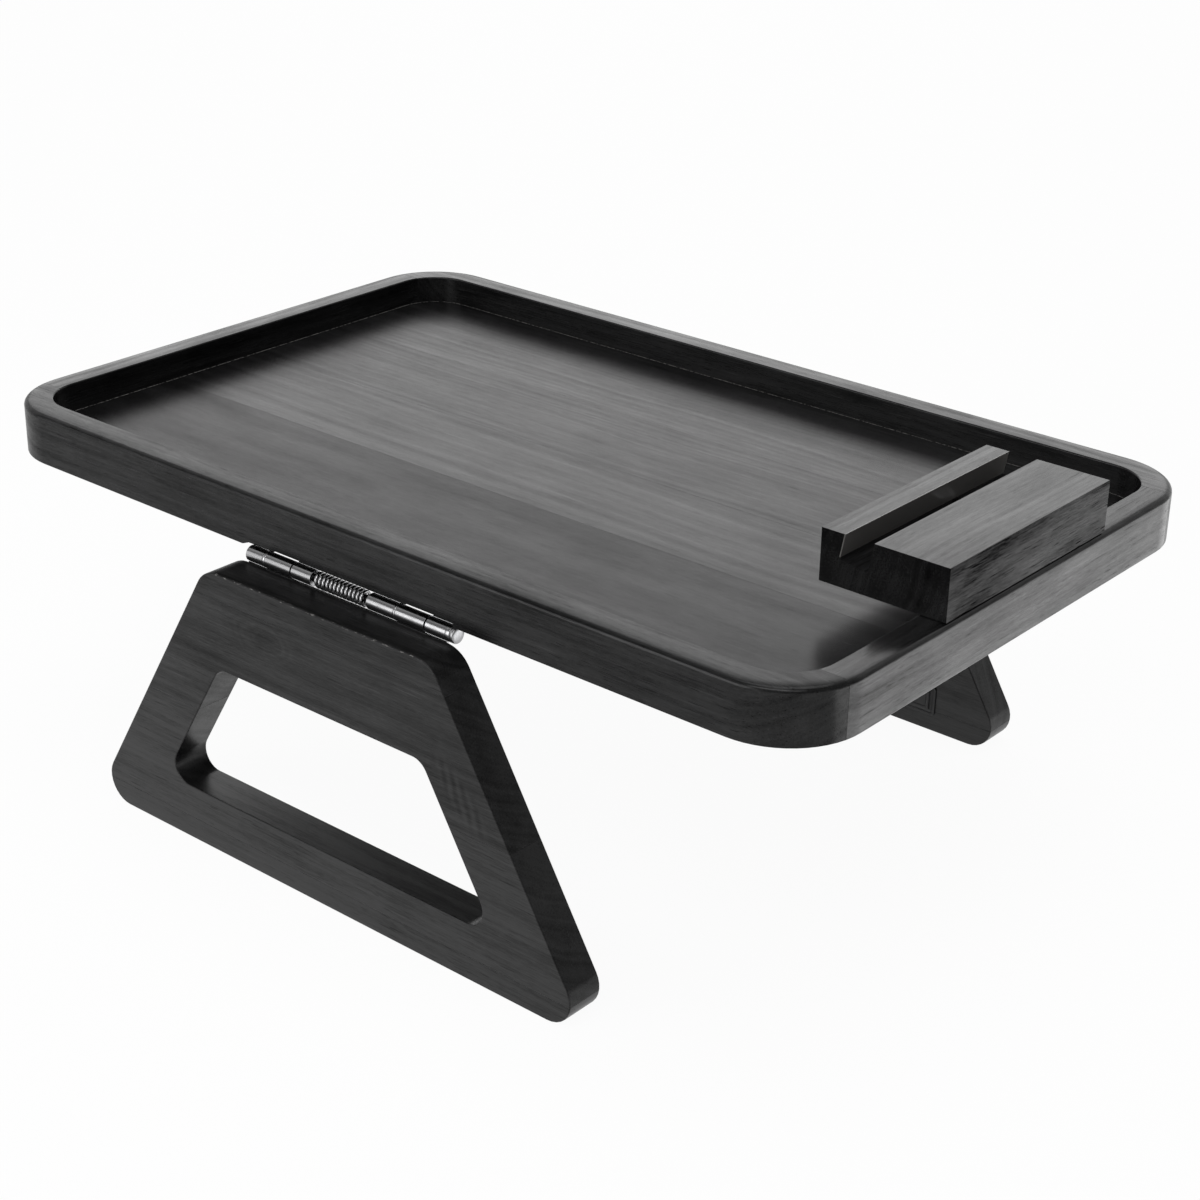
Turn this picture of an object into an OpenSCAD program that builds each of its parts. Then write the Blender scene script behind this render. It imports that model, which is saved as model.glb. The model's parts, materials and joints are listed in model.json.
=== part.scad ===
// Sofa arm tray: a rimmed wooden tray on two folding legs that clamp a sofa arm, with a swivelling
// phone holder. The origin is on the ground under the middle of the tray, X runs along the tray,
// Y across it from the near long side to the far one, and Z points up.

/* [Tray] */
// Length of the tray along X
tray_l = 380; // [340:5:420]
// Width of the tray along Y
tray_w = 240; // [236:2:280]
// Height of the rails
tray_h = 20; // [18:1:26]
// Thickness of the rails
rail_t = 11; // [10:0.5:14]
// Outer radius of the corners
corner_r = 29; // [26:1:34]
// Thickness of the floor boards
floor_t = 9; // [8:0.5:10]
// Radius of the rounding along the rails' outer top edge
edge_r = 3; // [1:0.5:4]

/* [Legs] */
// Height of each leg frame
leg_h = 113.2; // [100:0.1:114]
// Thickness of each leg frame
leg_t = 15; // [12:0.5:18]
// Width of a leg along its top edge
leg_top_w = 109; // [105:1:130]
// Width of a leg along the ground
leg_foot_w = 246; // [220:1:260]
// Height of the window's lower edge above the ground
window_z = 22; // [20:1:28]
// Height of the window
window_h = 54; // [40:1:56]
// Width of the window along its upper edge
window_top_w = 99; // [70:1:99]
// Width of the window along its lower edge
window_foot_w = 164; // [120:1:164]

/* [Hinges] */
// Outer radius of the hinge knuckles
knuckle_r = 2.95; // [2.7:0.05:2.95]
// Radius of the hinge pin
pin_r = 1.4; // [1.2:0.05:1.4]
// Thickness of the hinge leaves
leaf_t = 0.95; // [0.8:0.05:1]
// Depth of each hinge leaf, measured from the pin
leaf_depth = 20; // [20:0.5:21]
// Thickness of the spring wire
wire_d = 1.1; // [0.9:0.1:1.1]
// Number of turns of the spring, ending three quarters of a turn after its start
spring_turns = 12.75; // [8.75:1:12.75]

/* [Phone holder] */
// Width of the block across its slot
block_w = 48; // [40:1:52]
// Length of the block along its slot
block_l = 97.5; // [80:0.5:110]
// Height of the block
block_h = 18.5; // [16:0.5:22]
// Width of the slot that a phone stands in
slot_w = 10.75; // [9:0.25:12]
// Lean of the slot from the vertical
slot_lean = 10; // [0:1:12]

/* [Hidden] */
$fn = 64;

stain = [0.13, 0.13, 0.13];
stain_light = [0.2, 0.2, 0.2];
rubber = [0.06, 0.06, 0.06];
steel = [0.72, 0.73, 0.75];
spring_steel = [0.6, 0.61, 0.63];
brass = [0.72, 0.6, 0.32];
pale_wood = [0.76, 0.62, 0.42];

// Heights and outlines of the tray
hinge_low = 2.7;                             // from the leg's top edge up to the pin
hinge_high = 3.1;                            // from the pin up to the tray's underside
pin_in = 1.8;                                // from the tray's side in to the pin
pin_z = leg_h + hinge_low;
tray_z = pin_z + hinge_high;
floor_z = tray_z + floor_t;
rim_z = tray_z + tray_h;
side_y = tray_w / 2;
end_x = tray_l / 2;
inner_r = corner_r - rail_t;
joint_in = 22.5;                             // a long rail wraps the corner this far in from its side
groove_in = 3.5;                             // depth of the groove in the rails
tongue_in = 3.2;                             // reach of the floor's tongue into that groove
tongue_z = tray_z + 3;
tongue_h = 3;
floor_gap = 0.25;                            // room for the floor to swell
board_seams = [-42, 4.5, 51];
dowel_r = 2;
dowel_l = 16;
dowel_x = end_x - 8;
dowel_z = tray_z + 13;

// Legs
stave_seams = [9, 56, 103];
leg_top_r = 12;
leg_foot_r = 10;
window_r = 7;
pad_l = 178;
pad_w = 13;
pad_z = 7;
pad_pocket = 1;                              // depth of the pocket that holds the pad
pad_base_t = 1.6;
pad_t = 2.5;
pad_fit = 0.3;
pad_rib_in = 2.5;                            // step between the pad's flange and its raised middle

// Hinge, seen from its own pin: X along the pin, +Y under the tray, the leg hanging towards -Z
bore_r = pin_r + 0.05;
tray_knuckles = [[-47.8, -39.8], [-25.15, -15.7], [11.4, 23.8], [38.65, 47.6]];
leg_knuckles = [[-38.4, -25.85], [24.8, 37.95]];
washer_spans = [[-39.7, -38.5], [23.9, 24.7], [47.7, 49.4]];
thin_washer_r = knuckle_r + 0.05;
leaf_x = [-47.8, 47.6];
leaf_clear = 0.1;                            // gap from a leaf's edge to the other leaf's knuckles
neck_y = [0.8, 4];                           // reach of the tray leaf's necks, measured in from the pin
rebate_x = [-46, 50.4];                      // rebate along the rail's lower edge, over the barrel
rebate_ramp = 5;
rebate_in = 2.4;
rebate_h = 2;
notches = [[-37.2, -24.6], [26.4, 39.2]];    // parts of the rebate that are deeper, over the leg's knuckles
notch_in = 3.5;
pin_head_x = 49.5;
pin_head_l = 1.9;
pin_head_r = 3;
pin_tail_x = -47.9;
pin_tail_r = 2.2;
pin_tail_l = 0.8;
coil_r = knuckle_r - wire_d / 2;
coil_from = 9.1;
coil_to = -14.1;
coil_steps = 8;                              // rings in one turn
wire_sides = 6;
tang_reach = 6.2;
tang_bend = 1.3;
tang_end = 1.5;
leaf_screw_x = [-42.5, -19.5, 19.5, 42.5];
tray_screw_y = [6, 16.5, 16.5, 6];           // outer screws bite the rail, inner ones the floor
leg_screw_z = [-9, -16.5, -16.5, -9];
screw_head_r = 2.5;
screw_r = 1.3;
screw_head_l = 1.3;
tray_screw_l = 7;
leg_screw_l = 11;
screw_tip = 1.5;

// Phone holder
holder_gap = 0.3;                            // from the rim's top to the block
block_z = rim_z + holder_gap;
block_x = end_x - 0.7 - block_w;
block_y = -46.2;
slot_top = 14.55;                            // middle of the slot at the block's top, from its left side
slot_depth = 9.6;
swivel_x = block_x + slot_top - slot_depth * sin(slot_lean);
swivel_y = 20.5;
swivel_r = 2.5;
swivel_clear = 0.08;
seat_z = block_z + 8.1;
seat_r = 5.3;
head_r = 5;
head_h = 2.1;
play = 0.1;                                  // between the turning block and what it bears on
post_r = 11;
washer_r = 8;
washer_h = 0.8;
insert_r = 4;
insert_z = tray_z + 1;
swivel_end_z = tray_z + 1.5;
recess_w = 0.9;                              // arms of the cross in a screw's head
over = 1;                                    // how far a cutting shape runs past what it cuts

// Outlines

// Rectangle with round corners, made of true arcs
module round_rect(l, w, r) {
    square([l - 2 * r, w], center = true);
    square([l, w - 2 * r], center = true);
    for (sx = [-1, 1], sy = [-1, 1])
        translate([sx * (l / 2 - r), sy * (w / 2 - r)]) circle(r);
}

// Upright trapezoid standing on Y = 0 with round corners, made of true arcs
module round_trapezoid(top_w, foot_w, h, r_top, r_foot) {
    lean = atan((foot_w - top_w) / 2 / h);
    t_foot = r_foot / tan((90 - lean) / 2);
    t_top = r_top / tan((90 + lean) / 2);
    foot_side = [foot_w / 2 - t_foot * sin(lean), t_foot * cos(lean)];
    top_side = [top_w / 2 + t_top * sin(lean), h - t_top * cos(lean)];
    half = [[foot_w / 2 - t_foot, 0], foot_side, top_side, [top_w / 2 - t_top, h]];
    polygon(concat(half, [for (i = [3:-1:0]) [-half[i][0], half[i][1]]]));
    for (s = [-1, 1]) {
        translate([s * (foot_w / 2 - t_foot), r_foot]) circle(r_foot);
        translate([s * (top_w / 2 - t_top), h - r_top]) circle(r_top);
    }
}

// Places its children at the near side, or turned round to the far side
module at_side(far) {
    rotate([0, 0, far ? 180 : 0]) children();
}

// Tray

// Section through a rail: its inner face at X = 0, a groove for the floor, a rounded outer top edge
module rail_section() {
    difference() {
        union() {
            square([rail_t, tray_h - edge_r]);
            square([rail_t - edge_r, tray_h]);
            translate([rail_t - edge_r, tray_h - edge_r]) circle(edge_r);
        }
        translate([-over, tongue_z - tray_z]) square([groove_in + over, tongue_h]);
    }
}

// Rail along X on the near side, with a quarter of a ring at both ends
module rail_run(l, w) {
    straight = l - 2 * corner_r;
    translate([straight / 2, -w / 2 + rail_t, 0]) rotate([90, 0, -90])
        linear_extrude(straight) rail_section();
    for (s = [0, 1])
        mirror([s, 0, 0]) translate([straight / 2, -w / 2 + corner_r, 0]) rotate([0, 0, -90])
            rotate_extrude(angle = 90) translate([inner_r, 0]) rail_section();
}

// Prism that follows the rails' inner faces, grown or shrunk by a distance
module inside_prism(grow, z, h) {
    translate([0, 0, z]) linear_extrude(h)
        round_rect(tray_l - 2 * rail_t + 2 * grow, tray_w - 2 * rail_t + 2 * grow, inner_r + grow);
}

module dowels(r, l) {
    for (sx = [-1, 1], sy = [-1, 1])
        translate([sx * dowel_x, sy * (side_y - joint_in - 2), dowel_z]) rotate([90, 0, 0])
            cylinder(h = l, r = r, center = true);
}

// Holes for the screws of both tray leaves, in the rails and the floor
module leaf_screw_holes() {
    for (far = [false, true])
        at_hinge(far) tray_screw_holes();
}

module rail_holes() {
    dowels(dowel_r, dowel_l);
    leaf_screw_holes();
}

// Rebate in the near rail's lower edge for the hinge's barrel, with notches over the leg's knuckles
module hinge_rebate() {
    ramp = rebate_ramp * (1 + over / rebate_h);
    translate([0, rebate_in - side_y, tray_z]) rotate([90, 0, 0]) linear_extrude(rebate_in + over)
        polygon([[rebate_x[0] - ramp, -over], [rebate_x[0], rebate_h], [rebate_x[1], rebate_h],
            [rebate_x[1], -over]]);
    for (s = notches)
        translate([s[0], -side_y, tray_z - over]) cube([s[1] - s[0], notch_in, rebate_h + over]);
}

// Long rails take in most of the corners, short rails fit between them
module long_rail(far) {
    color(stain) difference() {
        at_side(far) intersection() {
            translate([0, 0, tray_z]) rail_run(tray_l, tray_w);
            translate([-end_x - over, -side_y - over, tray_z - over])
                cube([tray_l + 2 * over, joint_in + over, tray_h + 2 * over]);
        }
        at_side(far) hinge_rebate();
        rail_holes();
    }
}

module short_rail(right) {
    color(stain_light) difference() {
        intersection() {
            translate([0, 0, tray_z]) rotate([0, 0, right ? 90 : -90]) rail_run(tray_w, tray_l);
            translate([-end_x - over, -side_y + joint_in, tray_z - over])
                cube([tray_l + 2 * over, tray_w - 2 * joint_in, tray_h + 2 * over]);
        }
        rail_holes();
    }
}

// One of the floor's boards, glued edge to edge, with a tongue where it meets the rails
module floor_board(i) {
    edges = concat([-side_y], board_seams, [side_y]);
    color(stain_light) difference() {
        intersection() {
            union() {
                inside_prism(-floor_gap, tray_z, floor_t);
                inside_prism(tongue_in, tongue_z, tongue_h);
            }
            translate([-end_x, edges[i], tray_z - over])
                cube([tray_l, edges[i + 1] - edges[i], floor_t + 2 * over]);
        }
        leaf_screw_holes();
        translate([swivel_x, swivel_y, insert_z]) cylinder(h = floor_t, r = insert_r);
    }
}

module corner_dowels() {
    color(pale_wood) dowels(dowel_r, dowel_l);
}

// Legs, drawn at the near side with the inner face at the tray's side

module leg_frame() {
    translate([0, -side_y, 0]) rotate([90, 0, 0]) linear_extrude(leg_t) difference() {
        round_trapezoid(leg_top_w, leg_foot_w, leg_h, leg_top_r, leg_foot_r);
        translate([0, window_z]) round_trapezoid(window_top_w, window_foot_w, window_h, window_r, window_r);
    }
}

module pad_pocket_cut() {
    l = pad_l + pad_fit;
    w = pad_w + pad_fit;
    translate([-l / 2, -side_y - pad_pocket, pad_z - pad_fit / 2]) cube([l, pad_pocket + over, w]);
}

// One of the horizontal staves that a leg is glued up from, counted from the ground
module leg_stave(i, far) {
    seams = concat([0], stave_seams, [leg_h]);
    color(i % 2 == 0 ? stain : stain_light) at_side(far) difference() {
        intersection() {
            leg_frame();
            translate([-leg_foot_w, -side_y - leg_t - over, seams[i]])
                cube([2 * leg_foot_w, leg_t + 2 * over, seams[i + 1] - seams[i]]);
        }
        pad_pocket_cut();
        at_hinge(false) leg_screw_holes();
    }
}

// Strip with a raised middle that grips the side of the sofa arm
module grip_pad(far) {
    color(rubber) at_side(far) translate([-pad_l / 2, -side_y - pad_pocket, pad_z]) {
        cube([pad_l, pad_base_t, pad_w]);
        translate([pad_rib_in, 0, pad_rib_in]) cube([pad_l - 2 * pad_rib_in, pad_t, pad_w - 2 * pad_rib_in]);
    }
}

// Hinges

module at_hinge(far) {
    at_side(far) translate([0, pin_in - side_y, pin_z]) children();
}

// Cylinder along X from one place to another
module bar_x(from, to, r) {
    translate([from, 0, 0]) rotate([0, 90, 0]) cylinder(h = to - from, r = r);
}

// Space beside the leg's knuckles that the tray's knuckles, the washers and the spring turn in
module clear_bars() {
    starts = [leaf_x[0] - over, leg_knuckles[0][1], leg_knuckles[1][1]];
    ends = [leg_knuckles[0][0], leg_knuckles[1][0], leaf_x[1] + over];
    for (i = [0:2])
        bar_x(starts[i], ends[i], knuckle_r + leaf_clear);
}

module pin_bore() {
    bar_x(leaf_x[0] - over, pin_head_x, bore_r);
}

leaf_z = hinge_high - leaf_t;                // underside of the tray leaf, above the pin
leaf_y = leaf_t - pin_in;                    // inner face of the leg leaf, in from the pin

module hinge_tray_leaf(far) {
    front = knuckle_r + leaf_clear;
    color(steel) at_hinge(far) difference() {
        union() {
            translate([leaf_x[0], front, leaf_z])
                cube([leaf_x[1] - leaf_x[0], leaf_depth - front, leaf_t]);
            for (s = tray_knuckles) {
                bar_x(s[0], s[1], knuckle_r);
                translate([s[0], neck_y[0], leaf_z]) cube([s[1] - s[0], neck_y[1] - neck_y[0], leaf_t]);
            }
        }
        pin_bore();
        tray_screw_holes();
    }
}

module hinge_leg_leaf(far) {
    color(steel) at_hinge(far) difference() {
        union() {
            difference() {
                translate([leaf_x[0], -pin_in, -leaf_depth])
                    cube([leaf_x[1] - leaf_x[0], leaf_t, leaf_depth]);
                clear_bars();
            }
            for (s = leg_knuckles)
                bar_x(s[0], s[1], knuckle_r);
        }
        pin_bore();
        leg_screw_holes();
    }
}

// Riveted pin: a domed head at one end and a peened tail at the other
module hinge_pin(far) {
    dome = 0.6;
    color(steel) at_hinge(far) {
        bar_x(pin_tail_x - pin_tail_l / 2, pin_head_x + pin_head_l / 2, pin_r);
        bar_x(pin_head_x, pin_head_x + pin_head_l - dome, pin_head_r);
        translate([pin_head_x + pin_head_l - dome, 0, 0]) rotate([0, 90, 0])
            cylinder(h = dome, r1 = pin_head_r, r2 = pin_head_r * 0.75);
        translate([pin_tail_x, 0, 0]) rotate([0, -90, 0])
            cylinder(h = pin_tail_l, r1 = pin_tail_r, r2 = pin_tail_r * 0.6);
    }
}

module hinge_washers(far) {
    color(steel) at_hinge(far)
        for (s = washer_spans)
            difference() {
                bar_x(s[0], s[1], thin_washer_r);
                pin_bore();
            }
}

// Spring: a helix round the pin whose ends stand square on the two leaves

coil_count = spring_turns * coil_steps;

// Quarter bend in the plane across the pin, as [y, z] from an angle to another about a centre
function bend_points(x, c, r, from, to, n) =
    [for (k = [0:n]) let (a = from + (to - from) * k / n) [x, c[0] + r * cos(a), c[1] + r * sin(a)]];

// The wire leaves the bottom of the helix and hooks up under the tray leaf
tray_tang = concat(
    [[coil_from, tang_reach, leaf_z]],
    bend_points(coil_from, [tang_reach - tang_bend, -coil_r + tang_bend], tang_bend, 0, -90, 4),
    [[coil_from, tang_bend, -coil_r]]);

helix = [for (k = [0:coil_count])
    let (a = 270 - 360 * k / coil_steps)
    [coil_from + (coil_to - coil_from) * k / coil_count, coil_r * cos(a), coil_r * sin(a)]];

// At the other end it runs down past the leg leaf and hooks back against it
tang_out = leaf_y + tang_end + tang_bend;
leg_tang = concat(
    [[coil_to, (coil_r + tang_out) / 2, -tang_reach / 2]],
    bend_points(coil_to, [tang_out - tang_bend, -tang_reach], tang_bend, 0, -90, 4),
    [[coil_to, leaf_y, -tang_reach - tang_bend]]);

wire_path = concat(tray_tang, helix, leg_tang);
wire_n = len(wire_path);

function unit(v) = v / norm(v);
function along(p, i) = unit(p[min(i + 1, len(p) - 1)] - p[max(i - 1, 0)]);
function ring(p, i, r, sides) =
    let (t = along(p, i), u = unit([1, 0, 0] - t[0] * t), v = cross(t, u))
    [for (k = [0:sides - 1]) p[i] + r * (cos(360 * k / sides) * u + sin(360 * k / sides) * v)];

// Closed tube with a ring of corners at each point of a path
module sweep(p, r, sides) {
    n = len(p);
    rings = [for (i = [0:n - 1]) each ring(p, i, r, sides)];
    walls = [for (i = [0:n - 2], k = [0:sides - 1])
        let (a = i * sides + k, b = i * sides + (k + 1) % sides)
        each [[a, a + sides, b], [b, a + sides, b + sides]]];
    start = [for (k = [1:sides - 2]) [0, k, k + 1]];
    last = (n - 1) * sides;
    finish = [for (k = [1:sides - 2]) [last, last + k + 1, last + k]];
    polyhedron(concat(rings), concat(walls, start, finish));
}

// Least gap between parts of the wire that are at least half a turn apart along it
wire_gap = min([for (i = [0:wire_n - 1], j = [i + coil_steps / 2:1:wire_n - 1])
    norm(wire_path[i] - wire_path[j])]) - wire_d;
echo(spring_wire_least_gap_mm = wire_gap);

module hinge_spring(far) {
    color(spring_steel) at_hinge(far) sweep(wire_path, wire_d / 2, wire_sides);
}

// Screws

// Countersunk screw pointing to +Z with its head's face at Z = 0
module countersunk_screw(l) {
    difference() {
        rotate_extrude() polygon([[0, 0], [screw_head_r, 0], [screw_r, screw_head_l],
            [screw_r, l - screw_tip], [0, l]]);
        cross_recess(screw_head_r * 1.1, 0.8);
    }
}

// Cross cut upwards into a head's face at Z = 0
module cross_recess(l, depth) {
    for (a = [0, 90])
        rotate([0, 0, a]) translate([-l / 2, -recess_w / 2, -over]) cube([l, recess_w, depth + over]);
}

// Countersunk hole of a length, open past its mouth
module screw_hole(l) {
    translate([0, 0, -over]) cylinder(h = over, r = screw_head_r);
    cylinder(h = screw_head_l, r1 = screw_head_r, r2 = screw_r);
    cylinder(h = l, r = screw_r);
}

module each_tray_screw() {
    for (i = [0:len(leaf_screw_x) - 1])
        translate([leaf_screw_x[i], tray_screw_y[i], leaf_z]) children();
}

module each_leg_screw() {
    for (i = [0:len(leaf_screw_x) - 1])
        translate([leaf_screw_x[i], leaf_y, leg_screw_z[i]]) rotate([90, 0, 0]) children();
}

module tray_screw_holes() {
    each_tray_screw() screw_hole(tray_screw_l);
}

module leg_screw_holes() {
    each_leg_screw() screw_hole(leg_screw_l);
}

module tray_leaf_screws(far) {
    color(steel) at_hinge(far) each_tray_screw() countersunk_screw(tray_screw_l);
}

module leg_leaf_screws(far) {
    color(steel) at_hinge(far) each_leg_screw() countersunk_screw(leg_screw_l);
}

// Phone holder

module at_swivel(z) {
    translate([swivel_x, swivel_y, z]) children();
}

// Block with a leaning slot, a seat for the screw's head and the hole that it turns on
module phone_holder_block() {
    color(stain_light) difference() {
        translate([block_x, block_y, block_z]) cube([block_w, block_l, block_h]);
        translate([block_x + slot_top, block_y - over, block_z + block_h]) rotate([0, slot_lean, 0])
            translate([-slot_w / 2, 0, -slot_depth]) cube([slot_w, block_l + 2 * over, 2 * slot_depth]);
        at_swivel(seat_z) cylinder(h = block_h, r = seat_r);
        at_swivel(block_z - over) cylinder(h = block_h, r = swivel_r + swivel_clear);
    }
}

// Low round head that sits in the slot's floor, over a shank that runs down into the insert
module swivel_screw() {
    base_z = seat_z + play;
    color(steel) difference() {
        union() {
            at_swivel(base_z) cylinder(h = head_h * 0.5, r = head_r);
            at_swivel(base_z + head_h * 0.5) cylinder(h = head_h * 0.5, r1 = head_r, r2 = head_r * 0.6);
            at_swivel(swivel_end_z) cylinder(h = base_z - swivel_end_z, r = swivel_r);
        }
        at_swivel(base_z + head_h) rotate([180, 0, 0]) cross_recess(head_r * 0.9, 1.3);
    }
}

module swivel_washer() {
    color(steel) at_swivel(block_z - play - washer_h) difference() {
        cylinder(h = washer_h, r = washer_r);
        translate([0, 0, -over]) cylinder(h = washer_h + 2 * over, r = swivel_r);
    }
}

// Turned wooden spacer between the floor and the washer
module swivel_post() {
    h = block_z - play - washer_h - floor_z;
    color(stain) at_swivel(floor_z) difference() {
        cylinder(h = h, r = post_r);
        translate([0, 0, -over]) cylinder(h = h + 2 * over, r = swivel_r);
    }
}

module threaded_insert() {
    color(brass) at_swivel(insert_z) difference() {
        cylinder(h = floor_z - insert_z, r = insert_r);
        translate([0, 0, -over]) cylinder(h = floor_t + 2 * over, r = swivel_r);
    }
}

long_rail(false);  // long_rail_near
long_rail(true);  // long_rail_far
short_rail(false);  // short_rail_left
short_rail(true);  // short_rail_right
floor_board(0);  // floor_board_1
floor_board(1);  // floor_board_2
floor_board(2);  // floor_board_3
floor_board(3);  // floor_board_4
corner_dowels();
leg_stave(0, false);  // near_leg_foot_stave
leg_stave(1, false);  // near_leg_lower_stave
leg_stave(2, false);  // near_leg_upper_stave
leg_stave(3, false);  // near_leg_top_stave
grip_pad(false);  // near_grip_pad
leg_stave(0, true);  // far_leg_foot_stave
leg_stave(1, true);  // far_leg_lower_stave
leg_stave(2, true);  // far_leg_upper_stave
leg_stave(3, true);  // far_leg_top_stave
grip_pad(true);  // far_grip_pad
hinge_tray_leaf(false);  // near_hinge_tray_leaf
hinge_leg_leaf(false);  // near_hinge_leg_leaf
hinge_pin(false);  // near_hinge_pin
hinge_spring(false);  // near_hinge_spring
hinge_washers(false);  // near_hinge_washers
tray_leaf_screws(false);  // near_tray_leaf_screws
leg_leaf_screws(false);  // near_leg_leaf_screws
hinge_tray_leaf(true);  // far_hinge_tray_leaf
hinge_leg_leaf(true);  // far_hinge_leg_leaf
hinge_pin(true);  // far_hinge_pin
hinge_spring(true);  // far_hinge_spring
hinge_washers(true);  // far_hinge_washers
tray_leaf_screws(true);  // far_tray_leaf_screws
leg_leaf_screws(true);  // far_leg_leaf_screws
phone_holder_block();
swivel_screw();
swivel_washer();
swivel_post();
threaded_insert();
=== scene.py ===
"""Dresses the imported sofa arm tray: stained wood, steel hinges, rubber pads, and a white studio round it."""

import json
import math

import bmesh
import bpy
from mathutils import Matrix, Vector


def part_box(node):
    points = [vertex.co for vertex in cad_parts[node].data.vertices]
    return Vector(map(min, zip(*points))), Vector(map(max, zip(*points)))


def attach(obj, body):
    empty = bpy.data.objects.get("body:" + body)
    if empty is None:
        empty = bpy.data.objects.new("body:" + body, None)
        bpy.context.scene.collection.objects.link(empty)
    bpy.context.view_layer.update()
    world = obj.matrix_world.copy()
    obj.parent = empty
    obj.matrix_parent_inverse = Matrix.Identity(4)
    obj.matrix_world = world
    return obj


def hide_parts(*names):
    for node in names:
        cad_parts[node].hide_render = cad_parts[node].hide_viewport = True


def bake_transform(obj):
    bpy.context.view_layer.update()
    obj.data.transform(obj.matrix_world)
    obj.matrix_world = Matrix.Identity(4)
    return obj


bl_info = {
    "name": "Sofa Arm Tray",
    "version": (1, 0, 0),
    "blender": (4, 5, 0),
    "location": "3D View > Sidebar > Sofa Tray",
    "description": "Makes the pieces and finishes of a wooden sofa arm tray with folding legs",
    "category": "Object",
}

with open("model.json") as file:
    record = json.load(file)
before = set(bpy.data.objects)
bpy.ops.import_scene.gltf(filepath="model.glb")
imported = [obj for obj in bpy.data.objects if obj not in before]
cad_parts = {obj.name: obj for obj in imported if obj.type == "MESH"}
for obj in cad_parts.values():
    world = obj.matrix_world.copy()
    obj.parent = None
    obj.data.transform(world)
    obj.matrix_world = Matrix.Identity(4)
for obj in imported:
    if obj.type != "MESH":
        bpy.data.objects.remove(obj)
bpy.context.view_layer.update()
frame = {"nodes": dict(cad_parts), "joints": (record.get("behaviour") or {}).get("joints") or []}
MM = 0.001
SIDES = ("near", "far")
GRAIN_TURN = {
    "X": (0.0, 0.0, 0.0),
    "Y": (0.0, 0.0, -math.pi / 2),
    "Z": (0.0, math.pi / 2, 0.0),
}


def size(label, words, default):
    """A length that the user can change, in metres."""
    return bpy.props.FloatProperty(name=label, description=words, default=default, unit="LENGTH", precision=5)


def shade(label, words, default):
    """A colour that the user can change."""
    return bpy.props.FloatVectorProperty(
        name=label, description=words, default=default, subtype="COLOR", size=3, min=0.0, max=1.0)


class TraySizes(bpy.types.PropertyGroup):
    """Sizes of the rim and the floor that the frame's boxes don't give."""

    rail_t: size("Rail thickness", "From the outside of the rim to its inside", 11 * MM)
    corner_r: size("Corner radius", "Outer radius of the tray's corners", 29 * MM)
    top_edge: size("Top edge", "Rounding of the rim's outer top edge", 2 * MM)
    crown_r: size("Crown", "Radius of the slight crown between that edge and the flat top", 25 * MM)
    crown_tilt: bpy.props.FloatProperty(
        name="Crown tilt", description="Tilt where the crown meets the edge", default=math.radians(8), subtype="ANGLE")
    inner_edge: size("Inner edge", "Rounding of the rim's inner top edge", 0.6 * MM)
    low_edge: size("Lower edge", "Rounding of the rim's outer lower edge", 0.4 * MM)
    seam: size("Seam", "Width of the small chamfer where two boards meet", 0.12 * MM)


class LegSizes(bpy.types.PropertyGroup):
    """Outline of a leg and of its window."""

    top_w: size("Top width", "Width of a leg along its top edge", 109 * MM)
    foot_w: size("Foot width", "Width of a leg along the ground", 246 * MM)
    top_r: size("Top radius", "Radius of the upper corners", 12 * MM)
    foot_r: size("Foot radius", "Radius of the lower corners", 10 * MM)
    window_z: size("Window height", "From the ground to the window's lower edge", 22 * MM)
    window_h: size("Window size", "Height of the window", 54 * MM)
    window_top_w: size("Window top", "Width of the window along its upper edge", 99 * MM)
    window_foot_w: size("Window foot", "Width of the window along its lower edge", 164 * MM)
    window_r: size("Window radius", "Radius of the window's corners", 7 * MM)
    edge: size("Edge", "Rounding along both faces of a leg", 0.5 * MM)


class HingeSizes(bpy.types.PropertyGroup):
    """Sizes of the hinges, their springs and screws."""

    knuckle_r: size("Knuckle radius", "Outer radius of the rolled knuckles", 2.95 * MM)
    pin_r: size("Pin radius", "Radius of the hinge pin", 1.4 * MM)
    leaf_t: size("Leaf thickness", "Thickness of the hinge leaves", 0.95 * MM)
    wire_d: size("Wire", "Thickness of the spring wire", 1.1 * MM)
    screw_r: size("Screw head", "Radius of the countersunk heads", 2.5 * MM)


class Finishes(bpy.types.PropertyGroup):
    """Colours of the finishes."""

    wood_dark: shade("Dark stain", "Stained wood where it is darkest", (0.0014, 0.0014, 0.00145))
    wood_light: shade("Light stain", "Stained wood where it is lightest", (0.018, 0.018, 0.0184))
    wood_streak: shade("Streak", "Thin streaks where the stain took less", (0.04, 0.04, 0.0405))
    wood_worn: shade("Worn wood", "Wood where an edge has lost its stain", (0.16, 0.155, 0.15))
    steel: shade("Steel", "Plated steel", (0.37, 0.37, 0.376))
    # Painted shade: the dark colour of a hinge pin's shaft where it shows in the gaps between the knuckles.
    pin_shaft_shade: shade("Shaded steel", "Darkened steel of a pin's shaft", (0.05, 0.05, 0.05))
    rubber: shade("Rubber", "Rubber of the grip pads", (0.006, 0.006, 0.0065))
    backdrop: shade("Backdrop", "Floor and background", (0.95, 0.95, 0.95))


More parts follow.
